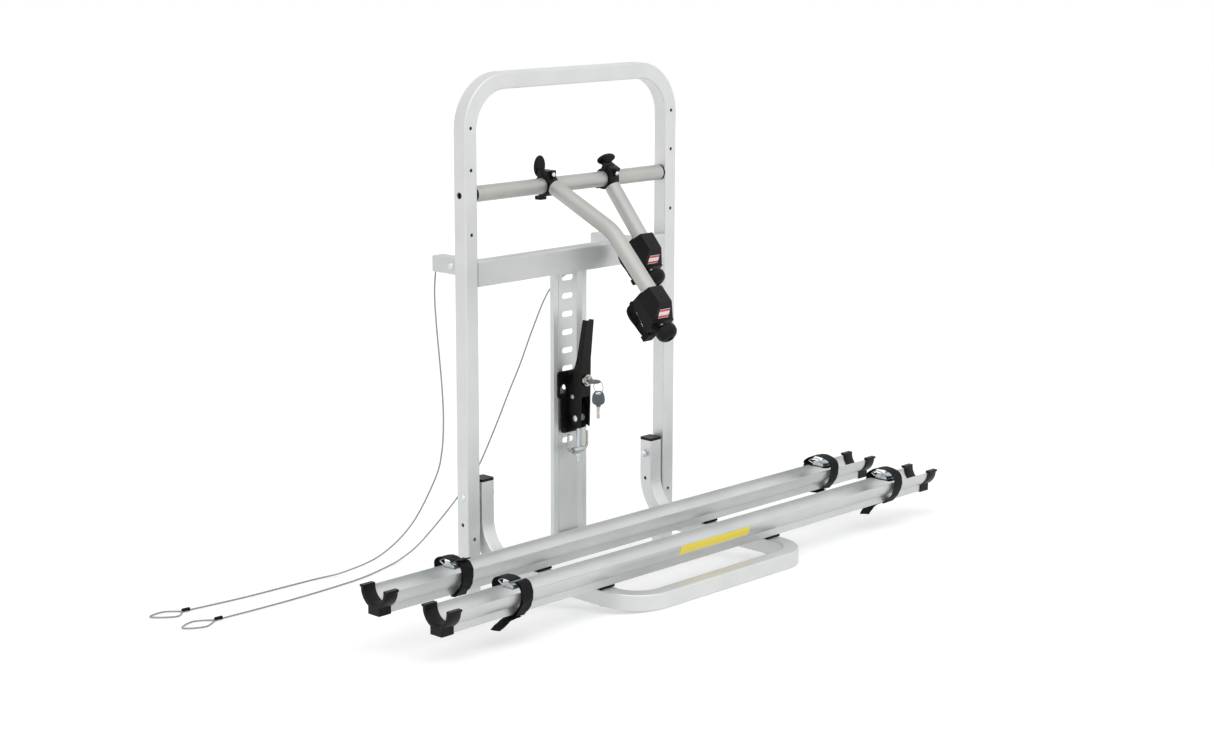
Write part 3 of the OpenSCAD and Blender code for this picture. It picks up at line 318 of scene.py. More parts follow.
finish_of = {
    alu_bent: ["main_frame", "platform_tube"],
    alu_along_x: ["upper_crossbeam", "lower_crossbeam", "rail_front", "rail_rear"],
    alu_along_y: ["rear_arms"],
    alu_along_z: ["centre_channel"],
    alu_round: ["cross_tube"] + numbered(2, "arm_tube"),
    black_nylon: ["leg_plugs", "cross_tube_plugs", "platform_caps", "rail_caps"]
    + numbered(2, "slip_sleeve", "arm_clamp", "claw_housing", "clamp_knob", "claw_knob"),
    black_rubber: ["rail_pads", "eye_left", "eye_right"] + numbered(2, "claw_strap"),
    black_coat: ["lever_base", "lever"],
    zinc: ["rear_arm_bolts", "channel_rivets", "pivot_bolts", "base_bolts", "lever_rivets",
           "cable_anchors", "rail_bolts", "pull_rod"] + numbered(4, "strap_buckle", "buckle_lever"),
    nickel: ["wire_hook", "hook_barrel", "lock_barrel", "key_ring"],
    webbing: numbered(4, "wheel_strap"),
    cable_steel: ["cable_left", "cable_right"],
    grey_abs: ["key", "spare_key"],
}
for material, names in finish_of.items():
    for name in names:
        solid = nodes[name]
        if not solid.material_slots:
            solid.data.materials.append(material)
        for place in solid.material_slots:
            place.material = material
print("dressed:", sum(len(names) for names in finish_of.values()))

# %% [markdown]
# ## Soft edges on the moulded and pressed solids
# A moulded edge is never sharp: it catches a thin line of light. A Weld modifier
# joins the loose triangles of a solid, and a Bevel modifier rounds the edges
# that turn by more than 32 degrees. The clamps and housings have wider rounds.

# %% Bevels
def bevelled(piece, width_mm, segments=2, angle=32):
    """The piece with a modifier that rounds its sharper edges."""
    bevel = piece.modifiers.new("bevel", "BEVEL")
    bevel.width, bevel.segments = width_mm * MM, segments
    bevel.limit_method, bevel.angle_limit = "ANGLE", math.radians(angle)
    return piece


ROUNDS = ((("rail_caps", "lever_base", "lever", "rail_pads"), 0.6, 2),
          (numbered(2, "arm_clamp"), 1.0, 2), (numbered(2, "claw_housing"), 2.0, 3))
for names, width_mm, segments in ROUNDS:
    for name in names:
        weld = nodes[name].modifiers.new("weld", "WELD")
        weld.merge_threshold = 0.01 * MM
        bevelled(nodes[name], width_mm, segments)
print("softened:", sum(len(names) for names, _, _ in ROUNDS))

# %% [markdown]
# ## Making a mesh piece
# All other pieces are lists of points and faces. These helpers make an object of
# them, with its faces looking outwards and its round parts shaded softly, and
# hand it to a body. A band, a wire and a cord are all one ring of points,
# carried along a smooth path.

# %% Piece helpers
def make_piece(name, points, faces, materials, uv=None, face_slots=None, angle=40):
    """An object from points in metres."""
    mesh = bpy.data.meshes.new(name)
    mesh.from_pydata([tuple(p) for p in points], [], faces)
    for material in materials:
        mesh.materials.append(material)
    if face_slots:
        mesh.polygons.foreach_set("material_index", face_slots)
    if uv:
        layer = mesh.uv_layers.new(name="UVMap")
        for loop in mesh.loops:
            layer.data[loop.index].uv = uv[loop.vertex_index]
    shell = bmesh.new()
    shell.from_mesh(mesh)
    bmesh.ops.recalc_face_normals(shell, faces=shell.faces)
    shell.to_mesh(mesh)
    shell.free()
    mesh.shade_smooth()
    mesh.set_sharp_from_angle(angle=math.radians(angle))
    return in_scene(name, mesh)


def baked(piece):
    """The piece with its modifiers worked into a plain mesh."""
    graph = bpy.context.evaluated_depsgraph_get()
    mesh = bpy.data.meshes.new_from_object(piece.evaluated_get(graph))
    old = piece.data
    piece.modifiers.clear()
    piece.data = mesh
    if old.users == 0:
        bpy.data.batch_remove([old])
    mesh.name = piece.name
    return piece


def belongs(piece, body, slot, *solids):
    """Hands the piece to a body and hides the solids that it stands for; the slot is not used."""
    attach(piece, body)
    if solids:
        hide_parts(*solids)
    print(piece.name, "rides on", body + ",", len(piece.data.polygons), "faces")


def smooth_path(points, steps):
    """Points on a smooth curve through the given ones."""
    p = [Vector(q) for q in points]
    path = []
    for i in range(len(p) - 1):
        a, b, c, d = p[max(i - 1, 0)], p[i], p[i + 1], p[min(i + 2, len(p) - 1)]
        for k in range(steps):
            t = k / steps
            path.append(0.5 * (2 * b + (c - a) * t + (2 * a - 5 * b + 4 * c - d) * t * t
                               + (3 * b - a - 3 * c + d) * t * t * t))
    return path + [p[-1]]


def sweep(path, rim_at):
    """Points, quads and UV of a tube; rim_at(i, point, way, run) gives each ring."""
    points, faces, uv, run = [], [], [], 0.0
    last = len(path) - 1
    for i, p in enumerate(path):
        way = (path[min(i + 1, last)] - path[max(i - 1, 0)]).normalized()
        if i:
            run += (path[i] - path[i - 1]).length
        ring = rim_at(i, p, way, run)
        points += [q for q, _ in ring]
        uv += [w for _, w in ring]
    n = len(ring)
    for i in range(last):
        for k in range(n):
            a, b = i * n + k, i * n + (k + 1) % n
            faces.append((a, b, b + n, a + n))
    faces.append(tuple(range(n))[::-1])
    faces.append(tuple(last * n + k for k in range(n)))
    return points, faces, uv


def round_tube(path, radius, lean, sides=10):
    """A round wire or cord along a path in millimetres; lean is where its seam starts."""
    def rim_at(i, p, way, run):
        nonlocal lean
        lean = (lean - way * lean.dot(way)).normalized()
        aside = way.cross(lean)
        return [((p + lean * (radius * math.cos(TURN * k / sides))
                  + aside * (radius * math.sin(TURN * k / sides))) * MM,
                 (k / sides, run * MM)) for k in range(sides)]

    return sweep(path, rim_at)


def strip(path, edge, across, size_at):
    """A flat band along a path; size_at(share, run, sx, st) gives half its width and a height."""
    shape = edge + [(-sx, -st) for sx, st in edge]

    def rim_at(i, p, way, run):
        flat = (across - way * across.dot(way)).normalized()
        out = flat.cross(way)
        ring = []
        for sx, st in shape:
            half_w, lift = size_at(i / (len(path) - 1), run, sx, st)
            ring.append((p + flat * (sx * half_w) + out * lift, (run * MM, sx * half_w * MM)))
        return ring

    return sweep(path, rim_at)


def joined(*parts):
    """Several (points, faces, uv, slot) as one list, with a material slot for each face."""
    points, faces, uv, slots = [], [], [], []
    for part_points, part_faces, part_uv, slot in parts:
        base = len(points)
        points += list(part_points)
        uv += list(part_uv) if part_uv else [(0.0, 0.0)] * len(part_points)
        faces += [tuple(base + i for i in face) for face in part_faces]
        slots += [slot] * len(part_faces)
    return points, faces, uv, slots


def united(name, materials, *pairs, place=None, angle=40):
    """One piece from (part, slot) pairs, in metres, or in millimetres if a place is given."""
    points, faces, _, slots = joined(*[(part[0], part[1], None, slot) for part, slot in pairs])
    if place is not None:
        points = [(place @ p) * MM for p in points]
    return make_piece(name, points, faces, materials, face_slots=slots, angle=angle)

# %% [markdown]
# ## The wheel straps
# Each wheel is held by a webbing strap that goes under the rail and over the
# rim. With no wheel in it the strap stands as a loose loop. It is one band, a
# flat strip with rounded edges on a smooth curve round the rail. Slow waves
# across and along it are the creases of used webbing.

# %% Webbing band
STRAP_W, STRAP_T = 25.0, 1.5
RAIL_R, RAIL_Y, RAIL_Z = 30.0, (-288.3, -132.8), 131.0      # gutter, rails' middles, lips
STRAP_X, STRAP_Y = (-442.0, -433.0, 580.0, 575.0), RAIL_Y * 2
STRAP_EDGE = [(-1, -0.5), (-0.97, -1), (-0.5, -1), (0, -1), (0.5, -1), (0.97, -1), (1, -0.5)]


def band(route, widths, across, seed, crease):
    """Webbing with slow waves that differ with the seed."""
    def size_at(share, run, sx, st):
        wave = crease * (math.sin(run * 0.21 + seed + sx * 1.3) * 0.6
                         + math.sin(run * 0.47 + seed * 2.1 - sx * 2.4) * 0.4)
        return (widths[0] + (widths[1] - widths[0]) * share) / 2, st * STRAP_T / 2 + wave

    return strip(smooth_path(route, 4), STRAP_EDGE, across, size_at)


def at_strap(i, route):
    """Points along Y, Z and maybe X, from the middle between the rail's lips."""
    return [Vector((STRAP_X[i] + (p[2] if len(p) > 2 else 0), STRAP_Y[i] + p[0], RAIL_Z + p[1]))
            for p in route]


left_loop = [(-21, 15.5), (-28, 13), (-33.5, 6), (-34.8, -5), (-33.2, -16), (-27.5, -26.5),
             (-20, -35), (-13.5, -42.6), (-4, -43.4), (6, -43.4), (14, -42.4), (20.5, -34.5),
             (27.5, -26), (32.8, -15), (34.6, -3), (35.5, 7), (31.5, 13.5), (23, 17.6), (11, 19.2),
             (-1, 18.4), (-9, 16.6)]
left_second = [(-19, 18), (-28.5, 17), (-35.5, 9), (-37.6, -4), (-36.2, -17), (-30.6, -28),
               (-23.5, -36.5), (-17, -44.2), (-6, -46.6)]
right_loop = [(22, 7.5), (30.5, 6), (34.5, -3), (33.2, -15), (27.8, -26), (20.5, -34.8),
              (13.8, -42.6), (4, -43.4), (-6, -43.4), (-13.8, -42.6), (-20.8, -35), (-28.4, -26),
              (-34.2, -13), (-36.6, 0), (-35.2, 10), (-29.5, 17.6), (-19, 22.6), (-6, 24.4),
              (8, 23.2), (20, 18.8), (29.5, 12.2), (33.8, 6.4), (31, 3.2), (18, 3.0), (0, 3.2),
              (-18, 3.0), (-29, 5)]
print("strap loops:", len(left_loop), "and", len(right_loop), "points")

# %% [markdown]
# ## Four straps
# The two left straps lie doubled where the second turn passes under the rail,
# the right ones close over the gutter. Every strap ends in its own free tail,
# which hangs, twists and creases a little differently.

# %% Four straps
# Each tail has its points, its widths at both ends, the way across it, a seed and its creases.
TAILS = (
    ([(-10, -45.4, 2), (-8, -46.2, -8), (-7, -48.5, -20), (-8, -53.5, -32), (-9, -57, -42),
      (-9.5, -60, -48)], (25, 23), (0, -1, 0.1), 4, 0.6),
    ([(-9, 16.8), (-15, 19.4), (-21, 20.2), (-27, 22.6), (-32, 23.4)],
     (25, 24), (1, 0.1, 0), 3, 0.4),
    ([(8, -45.2, 0), (9, -46.4, -14), (9, -49.5, -30), (8, -57, -43), (7, -62, -50)],
     (25, 22), (0, -1, 0.1), 5, 0.4),
    ([(-4, -45.4, 0), (-3, -46.2, -8), (-3, -47.5, -16), (-3.5, -49, -22)],
     (25, 24), (0, -1, 0.05), 6, 0.4))
for i, (tail, widths, across, seed, crease) in enumerate(TAILS):
    left = i < 2
    loop = left_loop if left else right_loop
    parts = [band(at_strap(i, loop), (STRAP_W, STRAP_W), ALONG_X, 1.7 * i, 0.5)]
    if left:
        parts.append(band(at_strap(i, left_second), (25, 24), ALONG_X, 2.9 + i, 0.9))
    parts.append(band(at_strap(i, tail), widths, Vector(across), seed, crease))
    points, faces, uv, _ = joined(*[(*part, 0) for part in parts])
    strap = make_piece(nth("webbing", i), [p * MM for p in points], faces, [webbing], uv=uv)
    belongs(strap, nth("strap", i), "webbing", nth("wheel_strap", i))

# %% [markdown]
# ## Slabs and turned bodies
# Most small hard parts are a slab between two corners or a body turned round an
# axis, here X. Helpers move them to their place, or turn them to run along Y.

# %% Slabs and turned bodies
def shifted(x, y, z):
    return Matrix.Translation((x, y, z))


def turned(axis, degrees):
    return Matrix.Rotation(math.radians(degrees), 4, axis)


def slab(corner_lo, corner_hi):
    """A closed box between two corners."""
    (x0, y0, z0), (x1, y1, z1) = corner_lo, corner_hi
    points = [Vector((x, y, z)) for z in (z0, z1) for y in (y0, y1) for x in (x0, x1)]
    faces = [(0, 2, 3, 1), (4, 5, 7, 6), (0, 1, 5, 4), (2, 6, 7, 3), (0, 4, 6, 2), (1, 3, 7, 5)]
    return points, faces


def prism(outline, x0, x1, axis=0):
    """An outline in the two other axes, drawn out along X (axis 0) or Y (axis 1)."""
    n = len(outline)
    points = [Vector((x, a, b) if axis == 0 else (a, x, b)) for x in (x0, x1) for a, b in outline]
    faces = [tuple(range(n)), tuple(range(n, 2 * n))[::-1]]
    faces += [(k, k + n, (k + 1) % n + n, (k + 1) % n) for k in range(n)]
    return points, faces


def lathe(profile, sides=32, wobble=None, hollow=False):
    """A closed body, or a hollow ring, turned round X from (x, radius) pairs."""
    points, faces = [], []
    for x, r in profile:
        for k in range(sides):
            a = TURN * k / sides
            rr = r * (wobble(a, x) if wobble else 1.0)
            points.append(Vector((x, rr * math.cos(a), rr * math.sin(a))))
    for i in range(len(profile) if hollow else len(profile) - 1):
        for k in range(sides):
            a, b = i * sides + k, i * sides + (k + 1) % sides
            faces.append((a, b, (b + sides) % len(points), (a + sides) % len(points)))
    if not hollow:
        faces.append(tuple(range(sides))[::-1])
        faces.append(tuple(range(len(points) - sides, len(points))))
    return points, faces


def drum(radius, x0, x1, sides=24):
    """A round bar along X with small chamfers."""
    chamfer = min(0.15 * radius, 0.2 * abs(x1 - x0))
    return lathe([(x0, radius - chamfer), (x0 + chamfer, radius), (x1 - chamfer, radius),
                  (x1, radius - chamfer)], sides)


def moved(part, matrix, scale=1.0):
    """A (points, faces) part after a matrix, in metres when scale is MM."""
    return [(matrix @ Vector(p)) * scale for p in part[0]], part[1]


def along_y(part, y, z):
    """A body about X turned to run along Y, its start at y."""
    return moved(part, shifted(0, y, z) @ turned("Z", 90))

# %% [markdown]
# ## What repeats, from Geometry Nodes
# The knurl of a cam is one small bar repeated on a circle, and the teeth of a
# claw's strap are one bar in a row. Each tree takes its sizes as inputs and ends
# in real geometry with a material, which becomes a plain mesh before it rides.

# %% Geometry Nodes: bars on a circle or in a row
def new_tree(name, floats, counts=()):
    """A tree with its inputs; gives the tree and what goes into it."""
    tree = bpy.data.node_groups.new(name, "GeometryNodeTree")
    tree.interface.new_socket("Geometry", in_out="OUTPUT", socket_type="NodeSocketGeometry")
    for kind, keys in (("Float", floats), ("Int", counts), ("Material", ("Finish",))):
        for key in keys:
            tree.interface.new_socket(key, in_out="INPUT", socket_type="NodeSocket" + kind)
    return tree, add(tree, "NodeGroupInput").outputs


def ended(tree, geometry, finish):
    """The tree, ended in real geometry with its material."""
    real = result(tree, "GeometryNodeRealizeInstances", {"Geometry": geometry})
    dressed = result(tree, "GeometryNodeSetMaterial", {"Geometry": real, "Material": finish})
    add(tree, "NodeGroupOutput", {0: dressed})
    return tree


def repeat_tree(name, on_circle):
    """Bars on a circle about X, or in a straight row; sizes are the tree's inputs."""
    tree, given = new_tree(name, ("Length", "Width", "Height", "Radius", "Step"), ("Count",))
    size = result(tree, "ShaderNodeCombineXYZ",
                  {0: given["Length"], 1: given["Width"], 2: given["Height"]})
    spots = {"Instance": result(tree, "GeometryNodeMeshCube", {"Size": size})}
    if on_circle:
        spots["Points"] = result(tree, "GeometryNodeMeshCircle",
                                 {"Vertices": given["Count"], "Radius": given["Radius"]})
        place = result(tree, "GeometryNodeInputPosition")
        spots["Rotation"] = result(tree, "FunctionNodeAlignRotationToVector", {"Vector": place},
                                   axis="Z")
    else:
        step = result(tree, "ShaderNodeCombineXYZ", {1: given["Step"]})
        spots["Points"] = result(tree, "GeometryNodeMeshLine",
                                 {"Count": given["Count"], "Offset": step})
    return ended(tree, result(tree, "GeometryNodeInstanceOnPoints", spots), given["Finish"])


def grown(name, tree, material, matrix, **sizes):
    """A piece made by a tree with the given sizes in millimetres, put in place."""
    piece = in_scene(name, bpy.data.meshes.new(name))
    modifier = piece.modifiers.new("nodes", "NODES")
    modifier.node_group = tree
    sizes["Finish"] = material
    for item in tree.interface.items_tree:
        if item.in_out == "INPUT" and item.name in sizes:
            modifier[item.identifier] = sizes[item.name]
    baked(piece)
    piece.data.materials.clear()
    piece.data.materials.append(material)
    piece.data.polygons.foreach_set("material_index", [0] * len(piece.data.polygons))
    piece.data.transform(Matrix.Scale(MM, 4) @ matrix)
    return piece


def absorb(piece, other):
    """Puts the mesh of another piece of the same finish into this one."""
    shell = bmesh.new()
    shell.from_mesh(piece.data)
    shell.from_mesh(other.data)
    shell.to_mesh(piece.data)
    shell.free()
    bpy.data.batch_remove([other])


bar_row = repeat_tree("bars_in_a_row", False)
bar_ring = repeat_tree("bars_on_a_circle", True)
print("trees:", [tree.name for tree in (bar_row, bar_ring)])

# %% [markdown]
# ## The cam buckles
# A strip of zinc-plated steel is folded up along both edges. A cam lever on a
# pin between these walls bites the webbing, and a wire bail on a second pin
# holds the strap's other end. The lever is a thin pressed tongue on its cam,
# with a hollow for the thumb.

# %% Parts of a buckle
PLATE_T = 1.5
FRONT_PIN, CAM_PIN = (10.5, 3.2), (6.5, 5.25)               # along Y and Z, from the plate
half_bail = [(11.6, *FRONT_PIN), (12.4, 14, 4), (12.6, 20, 6.4), (11, 25, 8.2), (6, 26.4, 8.8)]
bail_route = half_bail + [(0, 26.6, 9)] + [(-x, y, z) for x, y, z in reversed(half_bail)]


def buckle_parts():
    """Plate, folded walls and both pins, about the plate's middle."""
    half, long, wall = 13.5, 13.0, 11.0
    outline = [(-long, 0), (long, 0), (long, 4), (long - 5, wall), (1, wall), (-long, 5)]
    walls = [prism(outline, *sorted((s * half, s * (half - PLATE_T)))) for s in (-1, 1)]
    pin = moved(drum(1.6, -half - 1.2, half + 1.2, 20), shifted(0, *CAM_PIN))
    front_pin = moved(drum(1.5, -half - 0.8, half + 0.8, 20), shifted(0, *FRONT_PIN))
    return [slab((-half, -long, 0), (half, long, PLATE_T))] + walls + [pin, front_pin]


def thumb_tongue():
    """A pressed tongue with a hollow for the thumb, from the cam's pin outwards."""
    arc = [(0, 3.0), (-5, 4.4), (-11, 4.2), (-17, 3.4), (-22, 4.4)]
    thick, hollow = 1.4, 0.8
    points, faces = [], []
    for y, z in arc:
        for dz in (0, -thick):
            for x in (-11.2, -6, 6, 11.2):
                sunk = hollow if abs(x) < 7 and y < -3 else 0
                points.append(Vector((x, y, z + dz - sunk)))
    last = (len(arc) - 1) * 8
    for a in range(0, last, 8):
        b = a + 8
        for j in range(3):
            faces += [(a + j, a + j + 1, b + j + 1, b + j),
                      (a + 4 + j, b + 4 + j, b + 5 + j, a + 5 + j)]
        faces += [(a, b, b + 4, a + 4), (a + 3, a + 7, b + 7, b + 3)]
    faces += [(a + j, a + 4 + j, a + 5 + j, a + 1 + j) for a in (0, last) for j in range(3)]
    return points, faces

# %% [markdown]
# ## Four buckles
# A buckle stands on the rail's lips, under its strap. Its body moves with the
# strap along the rail, and its cam lever turns on the pin.

# %% Four buckles
CAM_R, CAM_HALF, BAIL_R, TOOTH = 3.3, 11.6, 1.1, 0.7
for i in range(4):
    base = shifted(STRAP_X[i], STRAP_Y[i] - 4.0, RAIL_Z + 4.2)
    bail_path = smooth_path([base @ Vector(p) for p in bail_route], 4)
    bail = round_tube(bail_path, BAIL_R, Vector((0, 0, 1)))
    parts = [(moved(part, base, MM), 0) for part in buckle_parts()] + [(bail, 0)]
    buckle = baked(bevelled(united(nth("cam_buckle", i), [zinc], *parts), 0.3, angle=30))
    belongs(buckle, nth("strap", i), "zinc", nth("strap_buckle", i))
    pivot = shifted(STRAP_X[i], STRAP_Y[i] + 2.5, RAIL_Z + 9.45)
    thumb = united(nth("cam_lever", i), [zinc], (drum(CAM_R, -CAM_HALF, CAM_HALF), 0),
                   (thumb_tongue(), 0), place=pivot)
    absorb(thumb, grown(nth("cam_teeth", i), bar_ring, zinc, pivot @ turned("Y", 90),
                        Length=TOOTH, Width=TOOTH, Height=TOOTH, Radius=CAM_R, Count=20))
    belongs(thumb, nth("buckle_lever", i), "zinc", nth("buckle_lever", i))

# %% [markdown]
# ## The two steel cables
# A cable leaves the open end of each rear arm, hangs down to the floor, and lies
# there up to a crimped sleeve with an eye: they tie the rack to the vehicle. A
# mesh tube is swept along the middle line of the solid, with a UV map on which
# the laid strands are drawn.

# %% Cable routes
left_route = [(-207, 114, 607), (-207, 126, 604), (-207.5, 139, 599), (-208.5, 149, 597),
              (-210, 153, 589), (-214, 152, 550), (-212, 151, 497), (-206, 150, 429),
              (-200, 150, 365), (-198, 150, 307), (-203, 150, 249), (-216, 155, 199),
              (-245, 190, 110), (-275, 245, 45), (-317, 300, 10), (-365, 322, 2), (-424, 324, 2),
              (-535, 326, 2), (-650, 336, 2)]
right_route = [(207, 114, 607), (207, 126, 604), (206, 139, 599), (204, 149, 597),
               (202, 153, 588), (190, 156, 576), (150, 160, 552), (95, 165, 518), (58, 172, 449),
               (32, 182, 379), (9, 192, 322), (-12, 203, 264), (-39, 222, 187), (-60, 234, 150),
               (-80, 246, 118), (-111, 270, 69), (-145, 290, 27), (-180, 296, 8), (-213, 292, 2),
               (-295, 268, 2), (-364, 259, 2), (-463, 253, 2), (-552, 252, 2), (-639, 254, 2)]
left_eye = [(-690, 320, 2), (-725, 351, 2), (-692, 360, 2)]
right_eye = [(-689, 236, 2), (-722, 258, 2), (-687, 276, 2)]
CABLE_R, SLEEVE_R, GROOVE_R, SLEEVE_L = 1.5, 3.5, 3.25, 16.0
sleeve_profile = [(0, 2.2), (0.4, 3.2), (1.2, SLEEVE_R), (5, SLEEVE_R), (5.6, GROOVE_R),
                  (6.6, GROOVE_R), (7.2, SLEEVE_R), (9.4, SLEEVE_R), (10, GROOVE_R),
                  (11, GROOVE_R), (11.6, SLEEVE_R), (15, SLEEVE_R), (15.6, 3.2), (SLEEVE_L, 2.2)]
print("cable routes:", len(left_route), "and", len(right_route), "points")

# %% [markdown]
# ## Laying the cables
# After its route a cable runs through the sleeve, makes the eye, and comes back
# beside itself. Its length is printed.

# %% Two cables
HALF_GAP, FLOOR_GAP = 1.7, 0.1          # from the sleeve's middle to a cable's, and to the floor


def laid(path):
    """Lifts the points where the curve dips under the floor."""
    return [Vector((p.x, p.y, max(p.z, CABLE_R + FLOOR_GAP))) for p in path]


def run_length(path):
    return sum((b - a).length for a, b in zip(path, path[1:])) * MM


for label, route, eye in (("left", left_route, left_eye), ("right", right_route, right_eye)):
    way = Vector((route[-1][0] - route[-2][0], route[-1][1] - route[-2][1], 0)).normalized()
    end = Vector(route[-1])
    aside = Vector((-way.y, way.x, 0)) * HALF_GAP
    far = end + way * (SLEEVE_L + 0.4)
    inward = [end + way * t + aside * min(t / 9, 1) for t in (3, 6, 9, 13)]
    loop = laid(smooth_path([far + aside, *[Vector(p) for p in eye], far - aside], 6))
    outward = [far - aside - way * t for t in (3, 6, 9)]
    path = laid(smooth_path(route, 6)) + inward + loop + outward
    points, faces, uv = round_tube(path, CABLE_R, Vector((0.75, 0.55, 0.35)))
    cable = make_piece("steel_cable_" + label, points, faces, [cable_steel], uv=uv)
    place = (Matrix.Translation(end + way * 0.1 + Vector((0, 0, SLEEVE_R - CABLE_R - FLOOR_GAP)))
             @ Matrix.Rotation(math.atan2(way.y, way.x), 4, "Z"))
    sleeve = united("crimp_sleeve_" + label, [black_rubber], (lathe(sleeve_profile, 24), 0),
                    place=place)
    belongs(cable, "frame", "coated_cable", "cable_" + label)
    belongs(sleeve, "frame", "coated_cable", "eye_" + label)
    print("cable", label, round(run_length(path), 3), "m")

# %% [markdown]
# ## The claws at the ends of the arms
# A claw holds the bike's tube between a wedge-shaped housing and a rubber strap.
# All its parts are drawn in the claw's own directions: along the arm, away from
# it, and across. One matrix then puts them on their arm.

# %% Where an arm and a claw stand
ARM_X, BAR_Y, BAR_Z = (-59.0, 100.0), 15.0, 747.5
ARM_SLOPE, BENT_SLOPE = (24.4, 50.0), 46.6
TO_BEND, BEND_RISE, PAST_BEND = 179.6, 7, 137.8
STRAIGHT_LEN, STRAIGHT_RISE = 140, 1


def arm_place(i):
    return shifted(ARM_X[i], BAR_Y, BAR_Z) @ turned("X", ARM_SLOPE[i])


def claw_place(i):
    flip_y = Matrix.Scale(-1, 4, (0, 1, 0))
    if i == 0:
        return (arm_place(0) @ shifted(0, -TO_BEND, BEND_RISE)
                @ turned("X", BENT_SLOPE - ARM_SLOPE[0]) @ shifted(0, -PAST_BEND, 0) @ flip_y)
    return arm_place(1) @ shifted(0, -STRAIGHT_LEN, STRAIGHT_RISE) @ flip_y


def ramp(value, start, length):
    """Rises from nought to one over a length."""
    return max(0.0, min((value - start) / length, 1.0))


print("claws at", [[round(c) for c in claw_place(i).translation] for i in (0, 1)])

# %% [markdown]
# ## The claws' straps
# A strap is thick at its hinge and thin near its foot, which lets it bend, and
# small teeth on its inner side grip the tube. Its foot is a block with a clip
# that hooks on the housing's end.

# %% Claw straps
CLAW_PIN = (0, -6.84, -42.18)
strap_route = [(0, -4.5, -39.5), (0, -8.0, -48), (0, -8.6, -56), (0, -4.0, -62.2), (0, 6, -64.2),
               (0, 20, -64.8), (0, 33, -64.6), (0, 44, -63.4), (0, 52, -60.5)]
THICK, THINNER, HALF_W, NARROWER = 5.0, 3.4, 10.6, 2.2


def claw_size(share, run, sx, st):
    return (HALF_W - NARROWER * ramp(share, 0.5, 0.2),
            st * (THICK - THINNER * ramp(share, 0.55, 0.12)) / 2)


claw_band = strip(smooth_path(strap_route, 5), [(-1, -0.6), (-0.9, -1), (0.9, -1), (1, -0.6)],
                  ALONG_X, claw_size)
foot = slab((-11, 47.6, -65.8), (11, 58.0, -46.0))
clip = slab((-8, 50.0, -47.0), (8, 56.5, -38.2))
ears = [moved(drum(6.4, s * 6.6, s * 11.0, 28), shifted(*CLAW_PIN)) for s in (-1, 1)]
pin = moved(drum(2.4, -11.6, 11.6, 20), shifted(*CLAW_PIN))
for i in (0, 1):
    place = claw_place(i)
    parts = [(part, 0) for part in (claw_band, *ears, pin, foot, clip)]
    strap = united(nth("rubber_strap", i), [black_rubber], *parts, place=place)
    strap = baked(bevelled(strap, 0.8))
    absorb(strap, grown(nth("strap_teeth", i), bar_row, black_rubber,
                        place @ shifted(0, 2, -61.3),
                        Length=18.0, Width=1.4, Height=1.2, Step=3.2, Count=7))
    belongs(strap, nth("claw_strap", i), "black_rubber", nth("claw_strap", i))

# %% [markdown]
# ## The claws' housings
# A housing keeps the shape of its solid. A flange closes its end, a slanted
# sticker with two red bands lies bare on its upper facet, and a small dimple
# shows where the mould was fed.

# %% Flange, sticker and dimple
flange = slab((-27.2, -1.0, -12.0), (27.2, 1.8, 12.6))
bands = [(-8.0, -7.3, 0), (-7.3, -3.5, 1), (-3.5, 3.5, 0), (3.5, 7.3, 1), (7.3, 8.0, 0)]
films = [(slab((-13.4, low, 0.02), (13.4, high, 0.22)), slot) for low, high, slot in bands]
dimple = lathe([(0, 2.9), (0.5, 2.6), (0.5, 1.7), (0.1, 1.3)], 24)
slant = Matrix(((1, -0.15, 0, 0), (0, 1, 0, 0), (0, 0, 1, 0), (0, 0, 0, 1)))
flange_lean, facet_lean = math.atan2(0.175, 0.985), math.atan2(-0.799, 0.602)
for i in (0, 1):
    end = claw_place(i) @ shifted(0, 55.0, -21.8) @ Matrix.Rotation(flange_lean, 4, "X")
    facet = claw_place(i) @ shifted(0, 44.8, 0.4) @ Matrix.Rotation(facet_lean, 4, "X")
    top = claw_place(i) @ shifted(0, 19, 16.9) @ turned("Y", -90)
    for piece in (
            baked(bevelled(united(nth("claw_flange", i), [black_nylon], (flange, 0), place=end),
                           1.1)),
            united(nth("bare_sticker", i), [white_film, red_film], *films, place=facet @ slant),
            united(nth("claw_dimple", i), [black_nylon], (dimple, 0), place=top)):
        belongs(piece, nth("arm", i), "black_plastic")

# %% [markdown]
# ## The locking knobs
# Each claw closes with a big smooth knob with a keyhole in its end; the keyhole's slit is a
# near-black slab of painted shade. Its profile is turned round the axis, and a wave on the radius
# makes three slight lobes.

# %% Locking knobs
KNOB_Y, CORE_Y, STUD_Y, KNOB_Z = 60.4, 83.0, 35.6, -18.8
knob_profile = [(0, 4), (0, 11.2), (1.6, 12.6), (2.8, 16.0), (4.6, 18.2), (7.5, 19.3), (12, 19.5),
                (17, 19.0), (20.5, 17.4), (23.6, 14.6), (25.8, 11.4), (26.9, 8.4), (27.2, 6.6),
                (26.8, 5.9), (23.0, 5.7)]


def lobes(a, x):
    return 1 + 0.035 * math.cos(3 * a) * ramp(x, 2, 6)


